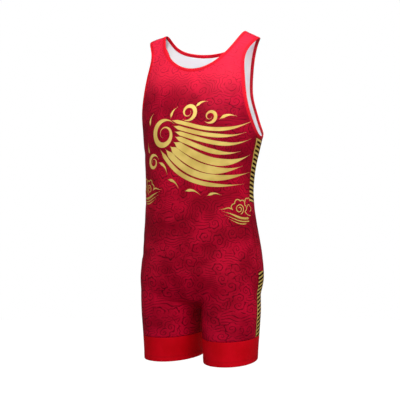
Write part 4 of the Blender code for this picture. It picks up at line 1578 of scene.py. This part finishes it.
# How dark the scrolls are, how much of that they lose on the chest, and the flecks' share in the ground.
SCROLL_SHARE = 0.82
SCROLL_LOSS = -0.38
GROUND_FLECK = 0.12


def printed_cloth():
    """The body cloth: crimson in soft patches, with scrolls, paler on the chest by a painted highlight and
    deeper at the ribs by painted shade.
    """
    cloth = Finish("printed_cloth", roughness=0.42, specular=0.06)
    fleck = cloth.knit(KNIT_PITCH, depth=0.00006)
    ground = cloth.add("Group", node_tree=SCROLL_GROUND)
    cloth.feed(ground.inputs["Place"], cloth.place)
    ground.inputs["Spacing"].default_value = SCROLL_SPACING
    ground.inputs["Line"].default_value = SCROLL_LINE
    flecks = cloth.math("MULTIPLY", fleck, GROUND_FLECK)
    share = cloth.math("ADD", ground.outputs["Tone"], flecks, clamp=True)
    red = cloth.mix(share, (*GROUND_RED, 1), (*BRIGHT_RED, 1))
    height = cloth.add("SeparateXYZ", {0: cloth.place}).outputs[1]
    # The chest mask paints a highlight: the red turns paler and pinker up the chest.
    chest = cloth.smooth(height, *CHEST_HIGHLIGHT_HEIGHTS)
    red = cloth.mix(cloth.math("MULTIPLY", chest, CHEST_HIGHLIGHT_SHARE), red, (*CHEST_HIGHLIGHT_RED, 1))
    below_chest = cloth.math("SUBTRACT", 1.0, chest)
    # Painted shade: below the chest, the red deepens towards the lines' dark red up the ribs.
    ribs = cloth.math("MULTIPLY", cloth.smooth(height, *RIB_SHADE_HEIGHTS), below_chest)
    red = cloth.mix(cloth.math("MULTIPLY", ribs, RIB_SHADE_SHARE), red, (*LINE_AND_SHADE_RED, 1))
    darkness = cloth.math("MULTIPLY_ADD", chest, SCROLL_LOSS, SCROLL_SHARE)
    lines = cloth.math("MULTIPLY", ground.outputs["Lines"], darkness)
    return cloth.colour(cloth.mix(lines, red, (*LINE_AND_SHADE_RED, 1)))


def knit_finish(name, low, high, pitch, depth, roughness, specular):
    """A plain knit, ink or thread between two tones, with a knit's pitch and depth."""
    cloth = Finish(name, roughness, specular)
    return cloth.varied(low, high, cloth.knit(pitch, depth))


PRINTED_CLOTH = printed_cloth()

# Each plain finish has a name, two tones, the knit's pitch and depth, a roughness and a specular level.
LINING = knit_finish("lining", LINING_LOW, LINING_HIGH, KNIT_PITCH, 0.00008, 0.85, 0.15)
TAPE = knit_finish("elastic_tape", TAPE_LOW, TAPE_HIGH, 0.0012, 0.00010, 0.50, 0.10)
BAND = knit_finish("leg_band_knit", BAND_LOW, BAND_HIGH, 0.0010, 0.00007, 0.50, 0.06)
GOLD = knit_finish("gold_ink", GOLD_LOW, GOLD_HIGH, KNIT_PITCH, 0.00004, 0.42, 0.16)
NIGHT = knit_finish("dark_ink", NIGHT_LOW, NIGHT_HIGH, KNIT_PITCH, 0.00004, 0.60, 0.05)
SLIT = knit_finish("red_ink", SLIT_LOW, SLIT_HIGH, KNIT_PITCH, 0.00004, 0.50, 0.16)
THREAD = knit_finish("thread", THREAD_LOW, THREAD_HIGH, 0.0006, 0.00005, 0.60, 0.08)

# The two panels, then the tapes, and then what comes in pairs: leg bands, seams, ladders and clouds.
EDGES = {}
CLOTHS = {}
for node, facing in (("front", -1), ("back", 1)):
    cloth, EDGES[facing] = body_panel(node + "_cloth", node, facing)
    cloth.data.materials.append(PRINTED_CLOTH)
    cloth.data.materials.append(LINING)
    CLOTHS[node + "_cloth"] = cloth

TAPES = {
    "neck_tape": (NECK, "neck_binding"),
    "left_armhole_tape": (ARMHOLES[1], "armhole_binding_left"),
    "right_armhole_tape": (ARMHOLES[-1], "armhole_binding_right"),
}
for name, (hole, node) in TAPES.items():
    CLOTHS[name] = binding(name, hole, node)
    CLOTHS[name].data.materials.append(TAPE)
    tape_stitches(name.replace("tape", "stitches"), hole, name)

for word, side in (("left", 1), ("right", -1)):
    name = word + "_leg_cloth"
    CLOTHS[name] = leg_band(name, side, "leg_band_" + word)
    CLOTHS[name].data.materials.append(BAND)
    hem_stitches(word + "_hem_stitches", side, name)
    flat_seam(word + "_side_seam", EDGES[1]["side"][side], "back_cloth")
    flat_seam(word + "_inseam", EDGES[1]["inseam"][side], "back_cloth")
    flat_seam(word + "_shoulder_seam", EDGES[1]["shoulder"][side], "back_cloth")
    dark, gold = ladders(side)
    film(word + "_ladder_ground", dark, facing=1, layer=0, material=NIGHT, carrier="back_cloth")
    film(word + "_ladder_stripes", gold, facing=1, layer=3, material=GOLD, carrier="back_cloth")
    film(word + "_cloud", cloud(*CLOUDS[word]), facing=-1, layer=0, material=GOLD, carrier="front_cloth")

# The gold design on the front.
film("sheaf_streamers", streamers(), facing=-1, layer=0, material=GOLD, carrier="front_cloth")
film("sheaf_scrolls", scrolls(), facing=-1, layer=1, material=GOLD, carrier="front_cloth")
film("sheaf_slits", slits(), facing=-1, layer=3, material=SLIT, carrier="front_cloth")
film("sheaf_drops", drops(), facing=-1, layer=0, material=GOLD, carrier="front_cloth")

# The camera is level and stands round to the wearer's left. Its lens and shift give the photo's framing.
CAMERA_TURN = np.radians(27.0)
CAMERA_AWAY = 3.0
CAMERA_LEVEL = -0.407
camera_data = bpy.data.cameras.new("camera")
camera = bpy.data.objects.new("camera", camera_data)
bpy.context.scene.collection.objects.link(camera)
bpy.context.scene.camera = camera
camera.location = CAMERA_AWAY * np.sin(CAMERA_TURN), -CAMERA_AWAY * np.cos(CAMERA_TURN), CAMERA_LEVEL
camera.rotation_euler = np.pi / 2, 0, CAMERA_TURN
camera_data.sensor_width = 36.0
camera_data.lens = 101.8
camera_data.shift_x = -0.006
camera_data.shift_y = -0.02375
camera_data.dof.use_dof = False

# Light as in a white tent: most of it comes from all round. Narrow lamps pick out the chest and look in at
# the left armhole, one stands over the shoulders, one is low at the camera's right, and one lights the back.
# Each has a name, size, power, spread, whether it shows in reflections, place and aim.
LAMPS = (
    ("chest_lamp", 0.25, 0.54, 28, True, (0.36, -0.95, 0.95), (0.02, -0.05, -0.01)),
    ("armhole_lamp", 0.15, 0.09, 10, False, (1.50, -1.30, -0.05), (0.15, 0.03, -0.12)),
    ("top_lamp", 0.40, 2.9, 180, True, (0.15, -0.15, 0.80), (0.0, 0.0, -0.40)),
    ("low_lamp", 0.80, 5.4, 180, False, (1.40, -1.00, -1.00), (0.0, 0.0, -0.60)),
    ("back_lamp", 1.20, 38.0, 180, False, (-1.30, 2.60, 0.10), (0.0, 0.0, -0.40)),
)


def lamp(name, size, power, spread, gleams, place, aim):
    """A round area lamp at a place, turned so that its own minus Z points at its aim."""
    data = bpy.data.lights.new(name, "AREA")
    data.shape = "DISK"
    data.size = size
    data.energy = power
    data.spread = np.radians(spread)
    piece = bpy.data.objects.new(name, data)
    piece.visible_glossy = gleams
    x, y, z = np.array(aim) - place
    piece.location = place
    piece.rotation_euler = np.arctan2(np.hypot(x, y), -z), 0, np.arctan2(-x, y)
    bpy.context.scene.collection.objects.link(piece)


for row in LAMPS:
    lamp(*row)

# The tent is brightest behind the camera: a direction's light is a base and a share of how far it faces
# there. It is dimmer in reflections, and the camera itself sees it plain white.
WORLD_LIGHT = 0.76
WORLD_GLEAM = 0.15
TENT_BASE = 0.50
TENT_FRONT = 0.86
WHITE = (1, 1, 1, 1)
world = bpy.data.worlds.new("studio")
world.use_nodes = True
bpy.context.scene.world = world
studio = Shading(world.node_tree)
background = world.node_tree.nodes["Background"]
rays = studio.add("LightPath").outputs
direction = studio.add("TexCoord").outputs["Generated"]
front = np.sin(CAMERA_TURN), -np.cos(CAMERA_TURN), 0.0
faced = studio.add("VectorMath", {0: direction, 1: front}, operation="DOT_PRODUCT").outputs["Value"]
tent = studio.math("MULTIPLY_ADD", studio.math("MAXIMUM", faced, 0.0), TENT_FRONT, TENT_BASE)
level = studio.math("MULTIPLY_ADD", rays["Is Glossy Ray"], WORLD_GLEAM - WORLD_LIGHT, WORLD_LIGHT)
dimmed = studio.math("MULTIPLY", tent, level)
studio.feed(background.inputs["Strength"], studio.math("MAXIMUM", rays["Is Camera Ray"], dimmed))
background.inputs["Color"].default_value = WHITE

# A wide pale floor at the wearer's feet, bright enough to run into the background.
FLOOR_HEIGHT = -1.42
FLOOR_RADIUS = 6.0
FLOOR_CORNERS = 96
FLOOR_GREY = (0.12, 0.12, 0.12, 1)
turn = np.linspace(0, 2 * np.pi, FLOOR_CORNERS + 1)[:-1]
rim = np.stack([FLOOR_RADIUS * np.cos(turn), FLOOR_RADIUS * np.sin(turn), 0 * turn + FLOOR_HEIGHT], axis=-1)
floor_mesh = bpy.data.meshes.new("floor")
floor_mesh.from_pydata(rim.tolist(), [], [list(range(len(rim)))])
floor = bpy.data.objects.new("floor", floor_mesh)
bpy.context.scene.collection.objects.link(floor)
paint = bpy.data.materials.new("floor_paint")
paint.use_nodes = True
coat = paint.node_tree.nodes["Principled BSDF"]
coat.inputs["Base Color"].default_value = FLOOR_GREY
coat.inputs["Roughness"].default_value = 0.9
coat.inputs["Specular IOR Level"].default_value = 0.1
coat.inputs["Emission Color"].default_value = WHITE
seen = Shading(paint.node_tree).add("LightPath").outputs["Is Camera Ray"]
paint.node_tree.links.new(seen, coat.inputs["Emission Strength"])
floor_mesh.materials.append(paint)

bpy.context.scene.view_settings.view_transform = "Standard"
